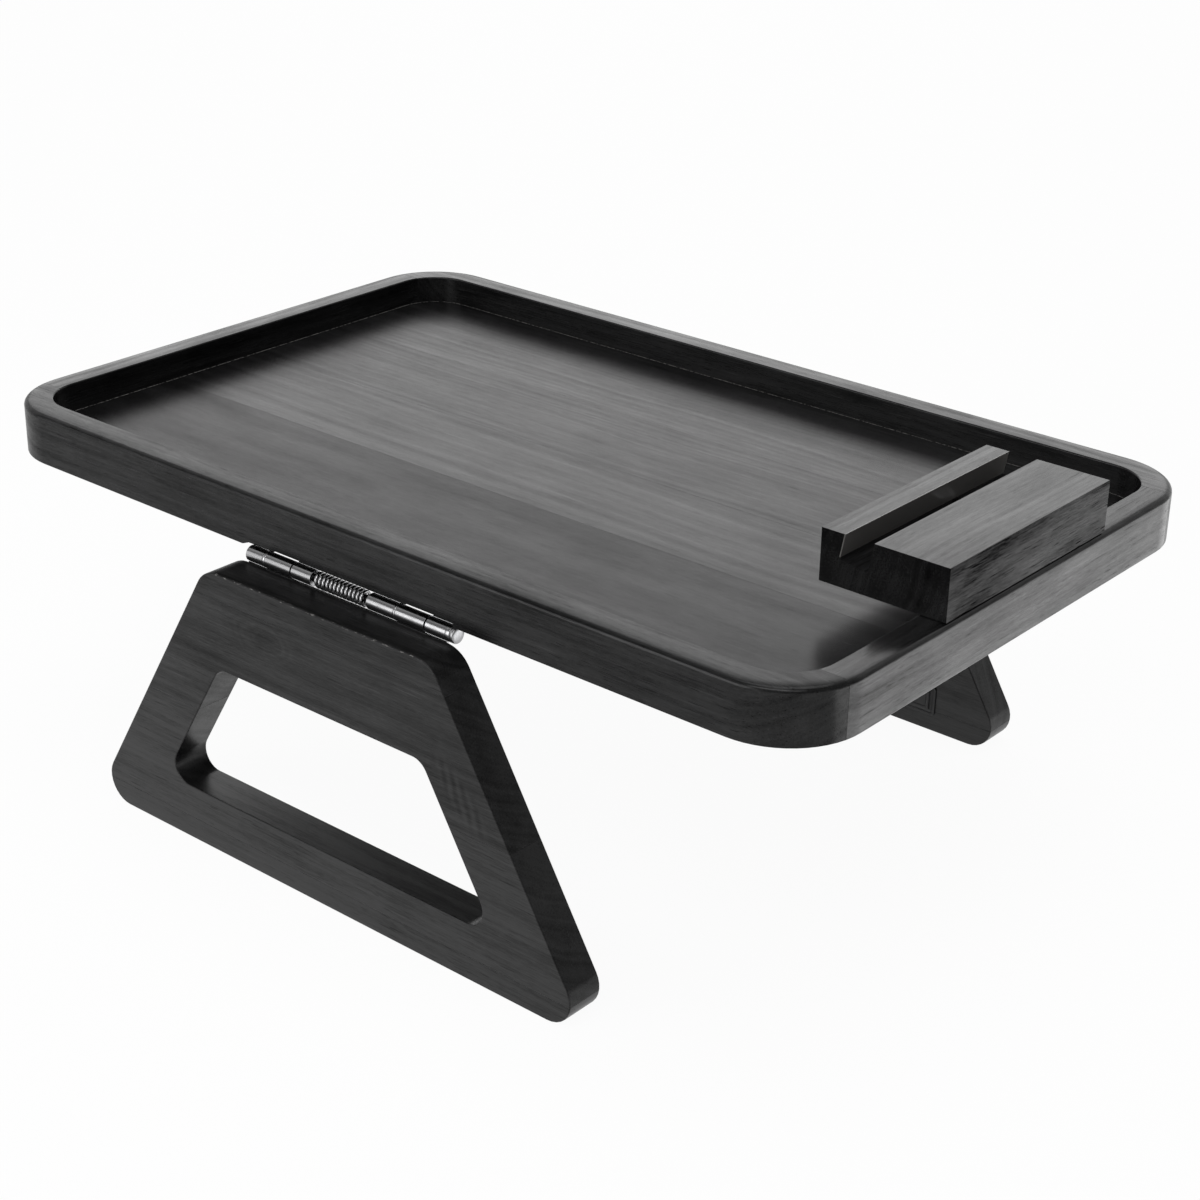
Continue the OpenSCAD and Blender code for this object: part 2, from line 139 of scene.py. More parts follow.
class Studio(bpy.types.PropertyGroup):
    """Camera and lights."""

    camera_x: size("Camera X", "Place of the camera along the tray", 528.5 * MM)
    camera_y: size("Camera Y", "Place of the camera across the tray", -618.1 * MM)
    camera_z: size("Camera Z", "Height of the camera", 449.9 * MM)
    tilt: bpy.props.FloatProperty(
        name="Tilt", description="From straight down up to the view", default=math.radians(65.089), subtype="ANGLE")
    roll: bpy.props.FloatProperty(
        name="Roll", description="Roll of the camera", default=math.radians(-0.968), subtype="ANGLE")
    turn: bpy.props.FloatProperty(
        name="Turn", description="Turn of the view from the +Y direction", default=math.radians(40.340), subtype="ANGLE")
    lens: bpy.props.FloatProperty(
        name="Lens", description="Focal length for a 36 mm wide picture", default=70.87, unit="CAMERA")
    world: bpy.props.FloatProperty(
        name="Room light", description="Strength of the light from all round", default=0.2, min=0.0)


class SofaTray(bpy.types.PropertyGroup):
    """All settings of the sofa arm tray."""

    tray: bpy.props.PointerProperty(type=TraySizes)
    leg: bpy.props.PointerProperty(type=LegSizes)
    hinge: bpy.props.PointerProperty(type=HingeSizes)
    finish: bpy.props.PointerProperty(type=Finishes)
    studio: bpy.props.PointerProperty(type=Studio)


def settings():
    return bpy.context.scene.sofa_tray


class Value:
    """A socket that carries a number. Arithmetic on it adds Math nodes."""

    def __init__(self, graph, socket):
        self.graph = graph
        self.socket = socket

    def math(self, operation, *others, clamp=False):
        made = self.graph.node("ShaderNodeMath", {"operation": operation, "use_clamp": clamp},
                               dict(enumerate((self,) + others)))
        return Value(self.graph, made.outputs[0])

    def reflected(self, operation, other):
        made = self.graph.node("ShaderNodeMath", {"operation": operation}, {0: other, 1: self})
        return Value(self.graph, made.outputs[0])

    def __add__(self, other):
        return self.math("ADD", other)

    def __radd__(self, other):
        return self.math("ADD", other)

    def __sub__(self, other):
        return self.math("SUBTRACT", other)

    def __rsub__(self, other):
        return self.reflected("SUBTRACT", other)

    def __mul__(self, other):
        return self.math("MULTIPLY", other)

    def __rmul__(self, other):
        return self.math("MULTIPLY", other)

    def __truediv__(self, other):
        return self.math("DIVIDE", other)

    def __rtruediv__(self, other):
        return self.reflected("DIVIDE", other)

    def __abs__(self):
        return self.math("ABSOLUTE")

    def between(self, low, high):
        """0 below low, 1 above high, and smooth between them."""
        made = self.graph.node(
            "ShaderNodeMapRange", {"interpolation_type": "SMOOTHSTEP"}, {"Value": self, "From Min": low, "From Max": high})
        return Value(self.graph, made.outputs[0])


class Graph:
    """A node tree under construction."""

    def __init__(self, tree):
        self.tree = tree
        self.tree.nodes.clear()

    def node(self, kind, setup=None, inputs=None):
        """One node: its settings first, then the values or links of its sockets, by name or by number."""
        made = self.tree.nodes.new(kind)
        for key, value in (setup or {}).items():
            setattr(made, key, value)
        for key, value in (inputs or {}).items():
            self.feed(made.inputs[key], value)
        return made

    def feed(self, socket, value):
        if isinstance(value, Value):
            value = value.socket
        if isinstance(value, bpy.types.NodeSocket):
            self.tree.links.new(value, socket)
        else:
            socket.default_value = value


class Paint(Graph):
    """A material under construction."""

    def __init__(self, name):
        self.material = bpy.data.materials.new(name)
        self.material.use_nodes = True
        super().__init__(self.material.node_tree)

    def place(self, grain="X", shift=(0.0, 0.0, 0.0)):
        """Object coordinates in millimetres, turned so that the grain runs along X."""
        where = self.node("ShaderNodeTexCoord").outputs["Object"]
        return self.node("ShaderNodeMapping", {}, {
            "Vector": where, "Location": shift, "Rotation": GRAIN_TURN[grain], "Scale": (1000.0,) * 3}).outputs[0]

    def parts(self, vector):
        made = self.node("ShaderNodeSeparateXYZ", {}, {0: vector})
        return [Value(self, socket) for socket in made.outputs]

    def joined(self, x, y, z):
        return self.node("ShaderNodeCombineXYZ", {}, {0: x, 1: y, 2: z}).outputs[0]

    def stretched(self, vector, factors):
        return self.node("ShaderNodeVectorMath", {"operation": "MULTIPLY"}, {0: vector, 1: factors}).outputs[0]

    def noise(self, vector, factors, detail=2.0, roughness=0.5):
        made = self.node("ShaderNodeTexNoise", {"noise_dimensions": "3D"}, {
            "Vector": self.stretched(vector, factors), "Scale": 1.0, "Detail": detail, "Roughness": roughness})
        return Value(self, made.outputs[0])

    def bands(self, distance, detail=1.0):
        """Noise along one number, such as the distance from a board's heart."""
        made = self.node("ShaderNodeTexNoise", {"noise_dimensions": "1D"}, {"W": distance, "Scale": 1.0, "Detail": detail})
        return Value(self, made.outputs[0])

    def mix(self, amount, first, second):
        made = self.node("ShaderNodeMix", {"data_type": "RGBA"}, {0: amount, 6: rgba(first), 7: rgba(second)})
        return made.outputs[2]

    def bump(self, height, distance, strength=1.0):
        return self.node("ShaderNodeBump", {}, {
            "Strength": strength, "Distance": distance, "Height": height}).outputs[0]

    def finish(self, **sockets):
        """Ends the material in one Principled shader."""
        inputs = {key.replace("_", " "): rgba(value) if "Color" in key else value for key, value in sockets.items()}
        shader = self.node("ShaderNodeBsdfPrincipled", {}, inputs)
        self.node("ShaderNodeOutputMaterial", {}, {"Surface": shader.outputs[0]})
        return self.material


def rgba(colour):
    """A colour as a socket takes it; a link passes through."""
    if isinstance(colour, (Value, bpy.types.NodeSocket)):
        return colour
    return (*colour[:3], 1.0)


def knot_mark(paint, x, y, z, where):
    """Change of the shine by the knot on the near leg: a dark heart with faint rings round it."""
    bend = (paint.noise(where, (0.07, 0.07, 0.07), 2.0) - 0.5) * 9.0
    dx, dz = (x + 25.0) * 0.7 + bend, (z - 95.5) * 1.5 + bend * 0.6
    away = (dx * dx + dz * dz).math("SQRT")
    rings = (away * 1.9).math("SINE") * (away.between(3.0, 6.0) - away.between(8.0, 15.0)) * 0.05
    return rings - (1.0 - away.between(1.0, 9.0)) * 0.2


def curl_mark(paint, x, y, z, where):
    """Change of the shine by the wavy figure beside the near leg's window."""
    bend = (paint.noise(where, (0.03, 0.06, 0.06), 1.0) - 0.5) * 5.0
    dx, dz = (x - 67.6 + (z - 68.2) * 0.8) / 9.0, (z - 68.2) / 15.0
    inside = 1.0 - (dx * dx + dz * dz).math("SQRT").between(0.45, 1.0)
    return ((x + z * 0.25 + bend) * 1.5).math("SINE") * inside * 0.13


def block_side_painted_shade(paint, x, y, z, where):
    """Painted shade: the phone holder's outer side gets less lacquer shine than its top, for the darker reflection that
    side shows.
    """
    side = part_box("phone_holder_block")[1][0] / MM
    across = paint.parts(paint.place())[0]
    return across.between(side - 0.3, side - 0.1) * -0.5


def in_slot(paint):
    """Distances in millimetres from the middle of the phone slot across it, and up from its floor."""
    low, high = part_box("phone_holder_block")
    x, _, z = paint.parts(paint.place())
    x, z = x - (low[0] + SLOT_TOP) / MM, z - high[2] / MM
    lean_x, lean_z = math.sin(SLOT_LEAN), math.cos(SLOT_LEAN)
    return x * lean_z - z * lean_x, x * lean_x + z * lean_z + SLOT_DEPTH / MM


def slot_floor_painted_shade(paint, x, y, z, where):
    """Painted shade: the slot's floor loses its lacquer shine, so that it stays dark down in the slot."""
    across, up = in_slot(paint)
    within = 1.0 - abs(across).between(SLOT_W / MM / 2 - 0.2, SLOT_W / MM / 2)
    return (1.0 - abs(up).between(0.3, 0.6)) * within * -1.0


def slot_wall(paint, x, y, z, where):
    """How much paler the left inner wall of the slot is drawn at a place."""
    across, up = in_slot(paint)
    wall = 1.0 - abs(across + SLOT_W / MM / 2).between(0.2, 0.5)
    return wall * up.between(0.0, 0.5) * 0.9


def floor_line(paint, x, y, z, where):
    """How much of the pale line along the foot of the rim's walls is at a place."""
    sizes = settings().tray
    half_x = (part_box("short_rail_right")[1][0] - sizes.corner_r) / MM
    half_y = (-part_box("long_rail_near")[0][1] - sizes.corner_r) / MM
    over_x, over_y = x.math("ABSOLUTE") - half_x, y.math("ABSOLUTE") - half_y
    out_x, out_y = over_x.math("MAXIMUM", 0.0), over_y.math("MAXIMUM", 0.0)
    away = (out_x * out_x + out_y * out_y).math("SQRT") + over_x.math("MAXIMUM", over_y).math("MINIMUM", 0.0)
    broken = paint.noise(where, (0.9, 0.9, 0.9), 3.0, 0.7).between(0.38, 0.6)
    return (away - (sizes.corner_r - sizes.rail_t) / MM).between(-0.9, -0.5) * broken


def worn_edge(paint, x, y, z, where):
    """How much of the worn spots along a leg's outer top edge is at a place."""
    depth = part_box("near_leg_top_stave")
    near_face = y.math("ABSOLUTE").between(-depth[0][1] / MM - 0.7, -depth[0][1] / MM - 0.3)
    near_top = z.between(depth[1][2] / MM - 0.7, depth[1][2] / MM - 0.3)
    spots = paint.noise(where, (0.35, 1.2, 1.2), 3.0, 0.6).between(0.56, 0.66)
    return near_face * near_top * spots


def stained_wood(name, grain="X", seed=0.0, tone=1.0, contrast=1.0, coat_rough=0.2, heart=(60.0, -45.0),
                 marks=(), worn=None):
    """Black-stained, satin-lacquered wood with its grain along one axis.

    Tone scales how much lacquer shines on it, and contrast how much that varies along the grain. The heart
    is where the growth rings centre, in millimetres across the grain. Marks change the shine in places; some of
    them are painted shade. Worn says where the wood is drawn paler, as on worn edges, along the foot of the
    rim's walls and on the slot's left wall.
    """
    look = settings().finish
    paint = Paint(name)
    where = paint.place(grain, (seed * 173.0, seed * 31.0, seed * 47.0))
    x, y, z = paint.parts(paint.place(grain))
    wander = (paint.noise(where, (0.005, 0.02, 0.02), 2.0) - 0.5) * 16.0
    ripple = (paint.noise(where, (0.03, 0.12, 0.12), 1.0) - 0.5) * 1.8
    across = y + wander + heart[0]
    depth = z + ripple + heart[1]
    distance = (across * across + depth * depth).math("SQRT")
    rings = paint.bands(distance * 0.42 + seed * 19.0, 2.0) - 0.5
    band = paint.noise(where, (0.004, 0.11, 0.11), 3.0, 0.55) - 0.5
    fibre = paint.noise(where, (0.05, 1.7, 1.7), 4.0, 0.6) - 0.5
    hair = paint.noise(where, (0.3, 5.0, 5.0), 3.0, 0.7) - 0.5
    blotch = paint.noise(where, (0.022, 0.06, 0.06), 3.0, 0.6) - 0.5
    pores = paint.noise(where, (0.11, 2.1, 2.1), 1.0).between(0.64, 0.74)
    streak = paint.noise(where, (0.05, 1.5, 1.5), 2.0).between(0.60, 0.80)
    figure = rings * 0.8 + band * 0.7 + fibre * 0.8 + hair * 1.3 + blotch * 1.1
    body = (figure * 0.9 + 0.4).math("MULTIPLY", 1.0, clamp=True)
    colour = paint.mix(body, look.wood_dark, look.wood_light)
    colour = paint.mix(streak * 0.4, colour, look.wood_streak)
    colour = paint.mix(pores * 0.8, colour, look.wood_dark)
    shine = figure * (0.8 * contrast) - pores * (0.35 * contrast) + 0.7
    for mark in marks:
        shine = shine + mark(paint, x, y, z, where)
    lacquer = shine.math("MULTIPLY", tone, clamp=True)
    if worn:
        colour = paint.mix(worn(paint, x, y, z, where) * 0.9, colour, look.wood_worn)
    height = fibre * 0.6 + hair * 0.35 + rings * 0.2 - pores * 0.9
    return paint.finish(Base_Color=colour, Roughness=0.6, Specular_IOR_Level=0.0, Coat_Weight=lacquer,
                        Coat_Roughness=coat_rough, Coat_IOR=1.4, Normal=paint.bump(height, 0.05 * MM, 0.8))


def plated_steel(name, tone=1.0, rough_base=0.2, shade_within=None):
    """Zinc-plated steel with soft smudges and fine scratches; when asked, up to a distance along X it is painted dark,
    as painted shade where a pin's shaft shows between the knuckles.
    """
    paint = Paint(name)
    where = paint.place()
    smudge = paint.noise(where, (0.35, 0.35, 0.35), 4.0, 0.65)
    scratch = paint.noise(where, (0.6, 9.0, 9.0), 3.0, 0.6)
    colour = paint.mix((smudge - 0.3) * 1.2, [c * tone for c in settings().finish.steel],
                       [c * tone * 0.55 for c in settings().finish.steel])
    if shade_within:
        bright = paint.parts(where)[0].math("ABSOLUTE").between(shade_within, shade_within + 0.2)
        colour = paint.mix(bright, settings().finish.pin_shaft_shade, colour)
    rough = (smudge - 0.5) * 0.25 + (scratch - 0.5) * 0.15 + rough_base
    height = scratch * 0.5 + smudge * 0.5
    return paint.finish(Base_Color=colour, Metallic=1.0, Roughness=rough, Normal=paint.bump(height, 0.04 * MM, 0.4))


def plain_finish(name, colour, roughness, metallic=0.0, grain_size=1.5):
    """An even finish with a fine grain of its own."""
    paint = Paint(name)
    grain = paint.noise(paint.place(), (grain_size,) * 3, 3.0)
    tint = paint.mix(grain, [c * 0.8 for c in colour[:3]], [min(1.0, c * 1.2) for c in colour[:3]])
    rough = (grain - 0.5) * 0.15 + roughness
    return paint.finish(Base_Color=tint, Metallic=metallic, Roughness=rough, Normal=paint.bump(grain, 0.03 * MM, 0.3))


def new_piece(name, build):
    """An object whose mesh is the given bmesh, with outward faces."""
    bmesh.ops.remove_doubles(build, verts=build.verts, dist=1e-7)
    bmesh.ops.recalc_face_normals(build, faces=build.faces)
    mesh = bpy.data.meshes.new(name)
    build.to_mesh(mesh)
    build.free()
    piece = bpy.data.objects.new(name, mesh)
    bpy.context.scene.collection.objects.link(piece)
    return piece


def settled(piece):
    """Turns what a piece's modifiers make into its plain mesh and removes them."""
    bpy.context.view_layer.update()
    state = bpy.context.evaluated_depsgraph_get()
    mesh = bpy.data.meshes.new_from_object(piece.evaluated_get(state), preserve_all_data_layers=True, depsgraph=state)
    mesh.name = piece.name
    piece.modifiers.clear()
    piece.data = mesh
    return piece


def smoothed(piece, chamfer=0.0, steps=2, angle=35.0):
    """Chamfers the sharp edges and shades the rest smooth, with flat faces kept flat."""
    for polygon in piece.data.polygons:
        polygon.use_smooth = True
    if chamfer:
        bevel = piece.modifiers.new("Chamfer", "BEVEL")
        bevel.width = chamfer
        bevel.segments = steps
        bevel.limit_method = "ANGLE"
        bevel.angle_limit = math.radians(angle)
        bevel.use_clamp_overlap = True
    weigh = piece.modifiers.new("Weigh", "WEIGHTED_NORMAL")
    weigh.keep_sharp = True
    weigh.weight = 100
    return settled(piece)


def combined(piece, other, operation):
    """Boolean of two pieces; the second one is used up."""
    tool = piece.modifiers.new("Combine", "BOOLEAN")
    tool.operation = operation
    tool.solver = "EXACT"
    tool.object = other
    settled(piece)
    bpy.data.objects.remove(other)
    return piece


def finish_piece(piece, material, node):
    """Gives a finished piece its material and hides the CAD node that it stands for."""
    piece.data.materials.clear()
    piece.data.materials.append(material)
    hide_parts(node)


def hand_over(piece, body, material, node):
    """Finishes a piece that moves with one body."""
    finish_piece(piece, material, node)
    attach(piece, body)


def dress(node, material):
    """Gives a CAD node that is kept its material."""
    mesh = frame["nodes"][node].data
    mesh.materials.clear()
    mesh.materials.append(material)


def arc(centre, radius, start, end, steps):
    """Points of an arc, angles in degrees."""
    angles = [math.radians(start + (end - start) * k / steps) for k in range(steps + 1)]
    return [(centre[0] + radius * math.cos(a), centre[1] + radius * math.sin(a)) for a in angles]


def loft(rings, closed=True):
    """Joins closed loops of as many points each by quads; the last loop meets the first, or both are capped."""
    build = bmesh.new()
    count = len(rings[0])
    loops = [[build.verts.new(point) for point in ring] for ring in rings]
    pairs = list(zip(loops, loops[1:] + loops[:1])) if closed else list(zip(loops, loops[1:]))
    for one, two in pairs:
        for k in range(count):
            build.faces.new((one[k], one[(k + 1) % count], two[(k + 1) % count], two[k]))
    if not closed:
        build.faces.new(loops[0])
        build.faces.new(loops[-1])
    return build


def keep_between(build, axis, low, high):
    """Cuts a solid off square below low and above high, and closes the cuts."""
    for place, sign in ((low, -1.0), (high, 1.0)):
        if place is None:
            continue
        normal = Vector([sign if k == axis else 0.0 for k in range(3)])
        point = Vector([place if k == axis else 0.0 for k in range(3)])
        everything = build.verts[:] + build.edges[:] + build.faces[:]
        bmesh.ops.bisect_plane(build, geom=everything, plane_co=point, plane_no=normal, clear_outer=True)
        edges = [e for e in build.edges if e.is_boundary]
        bmesh.ops.holes_fill(build, edges=edges, sides=0)
    return build


def round_rect_loop(half_x, half_y, radius, inset, z, steps=14):
    """Rectangle with round corners, shrunk by an inset, at a height."""
    points = []
    for turn, (sx, sy) in enumerate(((1, 1), (-1, 1), (-1, -1), (1, -1))):
        centre = (sx * (half_x - radius), sy * (half_y - radius))
        points += arc(centre, radius - inset, 90 * turn, 90 * turn + 90, steps)
    return [(x, y, z) for x, y in points]


def edge_steps(radius, steps=4):
    """Inset and drop along a rounded edge, from the side face to the other face."""
    angles = [math.radians(90.0 * k / steps) for k in range(steps + 1)]
    return [(radius * (1 - math.cos(a)), radius * (1 - math.sin(a))) for a in angles]


def crowned_edge(radius, crown_r, tilt, steps=7):
    """Inset and drop from the side face over a round edge and a flat crown, which meet at a tilt, to the top."""
    shoulder = crown_r * (1 - math.cos(tilt))
    points = []
    for k in range(steps + 1):
        slope = math.pi / 2 + (tilt - math.pi / 2) * k / steps
        points.append((radius * (1 - math.sin(slope)), shoulder + radius * (math.cos(tilt) - math.cos(slope))))
    reach = radius * (1 - math.sin(tilt)) + crown_r * math.sin(tilt)
    for k in range(1, steps - 2):
        slope = tilt * (1 - k / (steps - 3))
        points.append((reach - crown_r * math.sin(slope), crown_r * (1 - math.cos(slope))))
    return points


def rail_ring():
    """The whole rim as one ring with rounded edges."""
    sizes = settings().tray
    low_corner, high_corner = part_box("long_rail_near")
    half_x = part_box("short_rail_right")[1][0]
    half_y = -low_corner[1]
    low, high = low_corner[2], high_corner[2]
    inner = sizes.rail_t
    small = 0.3 * MM
    section = [(d, low + drop) for d, drop in edge_steps(sizes.low_edge)][::-1]
    section += [(d, high - drop) for d, drop in crowned_edge(sizes.top_edge, sizes.crown_r, sizes.crown_tilt)]
    section += [(inner - d, high - drop) for d, drop in edge_steps(sizes.inner_edge)][::-1]
    section += [(inner - d, low + drop) for d, drop in edge_steps(small, 1)]
    rings = [round_rect_loop(half_x, half_y, sizes.corner_r, inset, z) for inset, z in section]
    return loft(rings)


def cut_rebate(piece, side):
    """Cuts the rebate over the hinge's barrel out of a long rail's lower edge, and its two deeper notches."""
    left, right = REBATE_X
    low, high = HINGE_HIGH - MM, HINGE_HIGH + REBATE_H
    lead = REBATE_RAMP * (1 + MM / REBATE_H)
    outline = [(left - lead, low), (right, low), (right, high), (left, high)]
    front = -PIN_IN - MM
    cuts = [loft([[(x, y, z) for x, z in outline] for y in (front, REBATE_IN - PIN_IN)], closed=False)]
    cuts += [box_build((a * MM, front, low), (b * MM, NOTCH_IN - PIN_IN, high)) for a, b in NOTCHES]
    for cut in cuts:
        bmesh.ops.transform(cut, matrix=hinge_place(side), verts=cut.verts)
        combined(piece, new_piece("cutter", cut), "DIFFERENCE")


class SOFATRAY_OT_rails(bpy.types.Operator):
    """Makes the two long and two short rails of the rim"""

    bl_idname = "sofa_tray.rails"
    bl_label = "Rails"

    def execute(self, context):
        sizes = settings().tray
        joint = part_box("short_rail_right")[1][1]
        cuts = {
            "long_rail_near": ((1, None, -joint), "X", 1.0, 0.8),
            "long_rail_far": ((1, joint, None), "X", 2.0, 1.0),
            "short_rail_left": ((0, None, 0.0), "Y", 3.0, 1.05),
            "short_rail_right": ((0, 0.0, None), "Y", 4.0, 1.05),
        }
        for name, (cut, grain, seed, tone) in cuts.items():
            build = rail_ring()
            if name.startswith("short"):
                keep_between(build, 1, -joint, joint)
            keep_between(build, *cut)
            piece = new_piece(name + "_wood", build)
            if name.startswith("long"):
                cut_rebate(piece, name.split("_")[-1])
            smoothed(piece, sizes.seam)
            hand_over(piece, "tray", stained_wood(name + "_stain", grain, seed, tone, 0.7), name)
        return {"FINISHED"}


class SOFATRAY_OT_floor(bpy.types.Operator):
    """Makes the four glued boards of the tray's floor"""

    bl_idname = "sofa_tray.floor"
    bl_label = "Floor boards"

    def execute(self, context):
        sizes = settings().tray
        half_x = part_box("short_rail_right")[1][0] - sizes.rail_t
        half_y = -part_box("long_rail_near")[0][1] - sizes.rail_t
        low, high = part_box("floor_board_2")[0][2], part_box("floor_board_2")[1][2]
        radius = sizes.corner_r - sizes.rail_t
        fit = 0.05 * MM
        for number in range(1, 5):
            name = f"floor_board_{number}"
            corner_low, corner_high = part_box(name)
            rings = [round_rect_loop(half_x, half_y, radius, fit, z) for z in (low, high)]
            build = loft(rings, closed=False)
            low_cut = None if number == 1 else corner_low[1]
            high_cut = None if number == 4 else corner_high[1]
            keep_between(build, 1, low_cut, high_cut)
            piece = smoothed(new_piece(name + "_wood", build), sizes.seam * 0.6, 1)
            stain = stained_wood(name + "_stain", "X", 10.0 + 3.7 * number, (0.82, 1.02, 0.97, 1.04)[number - 1],
                                 0.36, 0.27, (40.0 + 25.0 * number, -260.0 + 20.0 * number), worn=floor_line)
            hand_over(piece, "tray", stain, name)
        return {"FINISHED"}


def trapezoid_loop(top_w, foot_w, low, high, top_r, foot_r, inset, y, steps=10):
    """Upright trapezoid with round corners, shrunk by an inset, in the plane at y."""
    lean = math.atan2((foot_w - top_w) / 2, high - low)
    degrees = math.degrees(lean)
    foot_x = foot_w / 2 - foot_r / math.tan((math.pi / 2 - lean) / 2)
    top_x = top_w / 2 - top_r / math.tan((math.pi / 2 + lean) / 2)
    points = arc((foot_x, low + foot_r), foot_r - inset, -90, degrees, steps)
    points += arc((top_x, high - top_r), top_r - inset, degrees, 90, steps)
    points += arc((-top_x, high - top_r), top_r - inset, 90, 180 - degrees, steps)
    points += arc((-foot_x, low + foot_r), foot_r - inset, 180 - degrees, 270, steps)
    return [(px, y, pz) for px, pz in points]


def leg_solid(side):
    """A whole leg with rounded edges along both faces, drawn where the frame has it."""
    sizes = settings().leg
    lowest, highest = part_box(f"{side}_leg_foot_stave")
    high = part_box(f"{side}_leg_top_stave")[1][2]
    low = lowest[2]
    front, back = lowest[1], highest[1]
    edge = edge_steps(sizes.edge)
    window = (sizes.window_top_w, sizes.window_foot_w, sizes.window_z, sizes.window_z + sizes.window_h,
              sizes.window_r, sizes.window_r)
    outside = (sizes.top_w, sizes.foot_w, low, high, sizes.top_r, sizes.foot_r)
    rings = [trapezoid_loop(*outside, d, back - drop) for d, drop in edge[::-1]]
    rings += [trapezoid_loop(*outside, d, front + drop) for d, drop in edge]
    rings += [trapezoid_loop(*window, -d, front + drop) for d, drop in edge[::-1]]
    rings += [trapezoid_loop(*window, -d, back - drop) for d, drop in edge]
    return loft(rings)


class SOFATRAY_OT_legs(bpy.types.Operator):
    """Makes both legs, each from its four staves"""

    bl_idname = "sofa_tray.legs"
    bl_label = "Legs"

    def execute(self, context):
        staves = ("foot", "lower", "upper", "top")
        tones = {"foot": 1.5, "lower": 1.35, "upper": 1.15, "top": 1.0}
        for turn, side in enumerate(SIDES):
            for number, stave in enumerate(staves):
                name = f"{side}_leg_{stave}_stave"
                low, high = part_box(name)[0][2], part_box(name)[1][2]
                build = keep_between(leg_solid(side), 2, low if number else None, high if number < 3 else None)
                piece = smoothed(new_piece(name + "_wood", build), settings().tray.seam)
                marks = {"near": (knot_mark, curl_mark), "far": ()}[side]
                stain = stained_wood(name + "_stain", "X", 30.0 + 9.0 * turn + 2.3 * number, tones[stave], 0.5, 0.34,
                                     (90.0, -60.0 - 45.0 * number), marks, worn_edge if stave == "top" else None)
                hand_over(piece, f"{side}_leg", stain, name)
        return {"FINISHED"}


class SOFATRAY_OT_grip_pads(bpy.types.Operator):
    """Makes the stepped rubber strips on the legs' inner faces"""

    bl_idname = "sofa_tray.grip_pads"
    bl_label = "Grip pads"

    def execute(self, context):
        rubber = plain_finish("grip_rubber", settings().finish.rubber, 0.62)
        for side in SIDES:
            name = f"{side}_grip_pad"
            low, high = (Vector(corner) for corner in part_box(name))
            toward = 1.0 if side == "near" else -1.0
            back = low.y if side == "near" else high.y
            middle = (low + high) / 2
            half_l, half_w = (high.x - low.x) / 2, (high.z - low.z) / 2
            steps = ((0.0, 0.0), (0.0, 1.4), (0.2, 1.6), (1.0, 1.6), (1.1, 1.3), (1.5, 1.3), (1.6, 1.6),
                     (2.4, 1.6), (2.5, 1.7), (2.5, 2.3), (2.7, 2.5), (3.6, 2.5), (3.7, 2.2), (4.0, 2.2), (4.1, 2.5))
            rings = []
            for inset, rise in steps:
                loop = round_rect_loop(half_l, half_w, 1.5 * MM, min(inset * MM, 1.2 * MM), 0.0, 4)
                rest = max(0.0, inset - 1.2) * MM
                ring = []
                for px, pz, _ in loop:
                    px -= math.copysign(min(rest, abs(px)), px)
                    pz -= math.copysign(min(rest, abs(pz)), pz)
                    ring.append((middle.x + px, back + toward * rise * MM, middle.z + pz))
                rings.append(ring)
            piece = smoothed(new_piece(name + "_strip", loft(rings, closed=False)))
            hand_over(piece, f"{side}_leg", rubber, name)
        return {"FINISHED"}


TRAY_KNUCKLES = ((-47.8, -39.8), (-25.15, -15.7), (11.4, 23.8), (38.65, 47.6))
LEG_KNUCKLES = ((-38.4, -25.85), (24.8, 37.95))
WASHERS = ((-39.7, -38.5), (23.9, 24.7), (47.7, 49.4))
LEAF_END = (-47.8, 47.6)
LEAF_CLEAR = 0.1 * MM
LEAF_DEPTH = 20.0 * MM
HINGE_HIGH = 3.1 * MM
PIN_IN = 1.8 * MM
REBATE_X = (-46.0 * MM, 50.4 * MM)
REBATE_RAMP = 5.0 * MM
REBATE_IN = 2.4 * MM
REBATE_H = 2.0 * MM
NOTCHES = ((-37.2, -24.6), (26.4, 39.2))
NOTCH_IN = 3.5 * MM
SCREW_X = (-42.5, -19.5, 19.5, 42.5)
TRAY_SCREW_Y = (6.0, 16.5, 16.5, 6.0)
LEG_SCREW_Z = (-9.0, -16.5, -16.5, -9.0)


def hinge_place(side):
    """Turns hinge coordinates, pin along X and +Y under the tray, into the row's own."""
    joint = next(j for j in frame["joints"] if j["name"] == f"{side}_leg_hinge")
    turn = Matrix.Rotation(0.0 if side == "near" else math.pi, 4, "Z")
    return Matrix.Translation(Vector(joint["pos_m"])) @ turn


def lathe(profile, steps=48):
    """Closed solid turned round X from its [x, radius] points; it starts and ends on the axis."""
    build = bmesh.new()
    rings = []
    for x, radius in profile:
        if radius < 1e-9:
            rings.append([build.verts.new((x, 0.0, 0.0))])
            continue
        angles = [2 * math.pi * k / steps for k in range(steps)]
        rings.append([build.verts.new((x, radius * math.cos(a), radius * math.sin(a))) for a in angles])
    for one, two in zip(rings, rings[1:]):
        for k in range(steps):
            corners = [one[k % len(one)], one[(k + 1) % len(one)], two[(k + 1) % len(two)], two[k % len(two)]]
            corners = list(dict.fromkeys(corners))
            if len(corners) > 2:
                build.faces.new(corners)
    return build


def tube_x(start, end, outer, inner, lip, steps=48):
    """Short tube along X with rounded ends, as one closed ring."""
    section = [(start, inner), (start, outer - lip), (start + lip, outer), (end - lip, outer), (end, outer - lip),
               (end, inner)]
    angles = [2 * math.pi * k / steps for k in range(steps)]
    rings = [[(x, r * math.cos(a), r * math.sin(a)) for x, r in section] for a in angles]
    return loft(rings)


def prism_x(outline, start, end):
    """Solid along X with an outline of [y, z] points."""
    return loft([[(x, y, z) for y, z in outline] for x in (start, end)], closed=False)


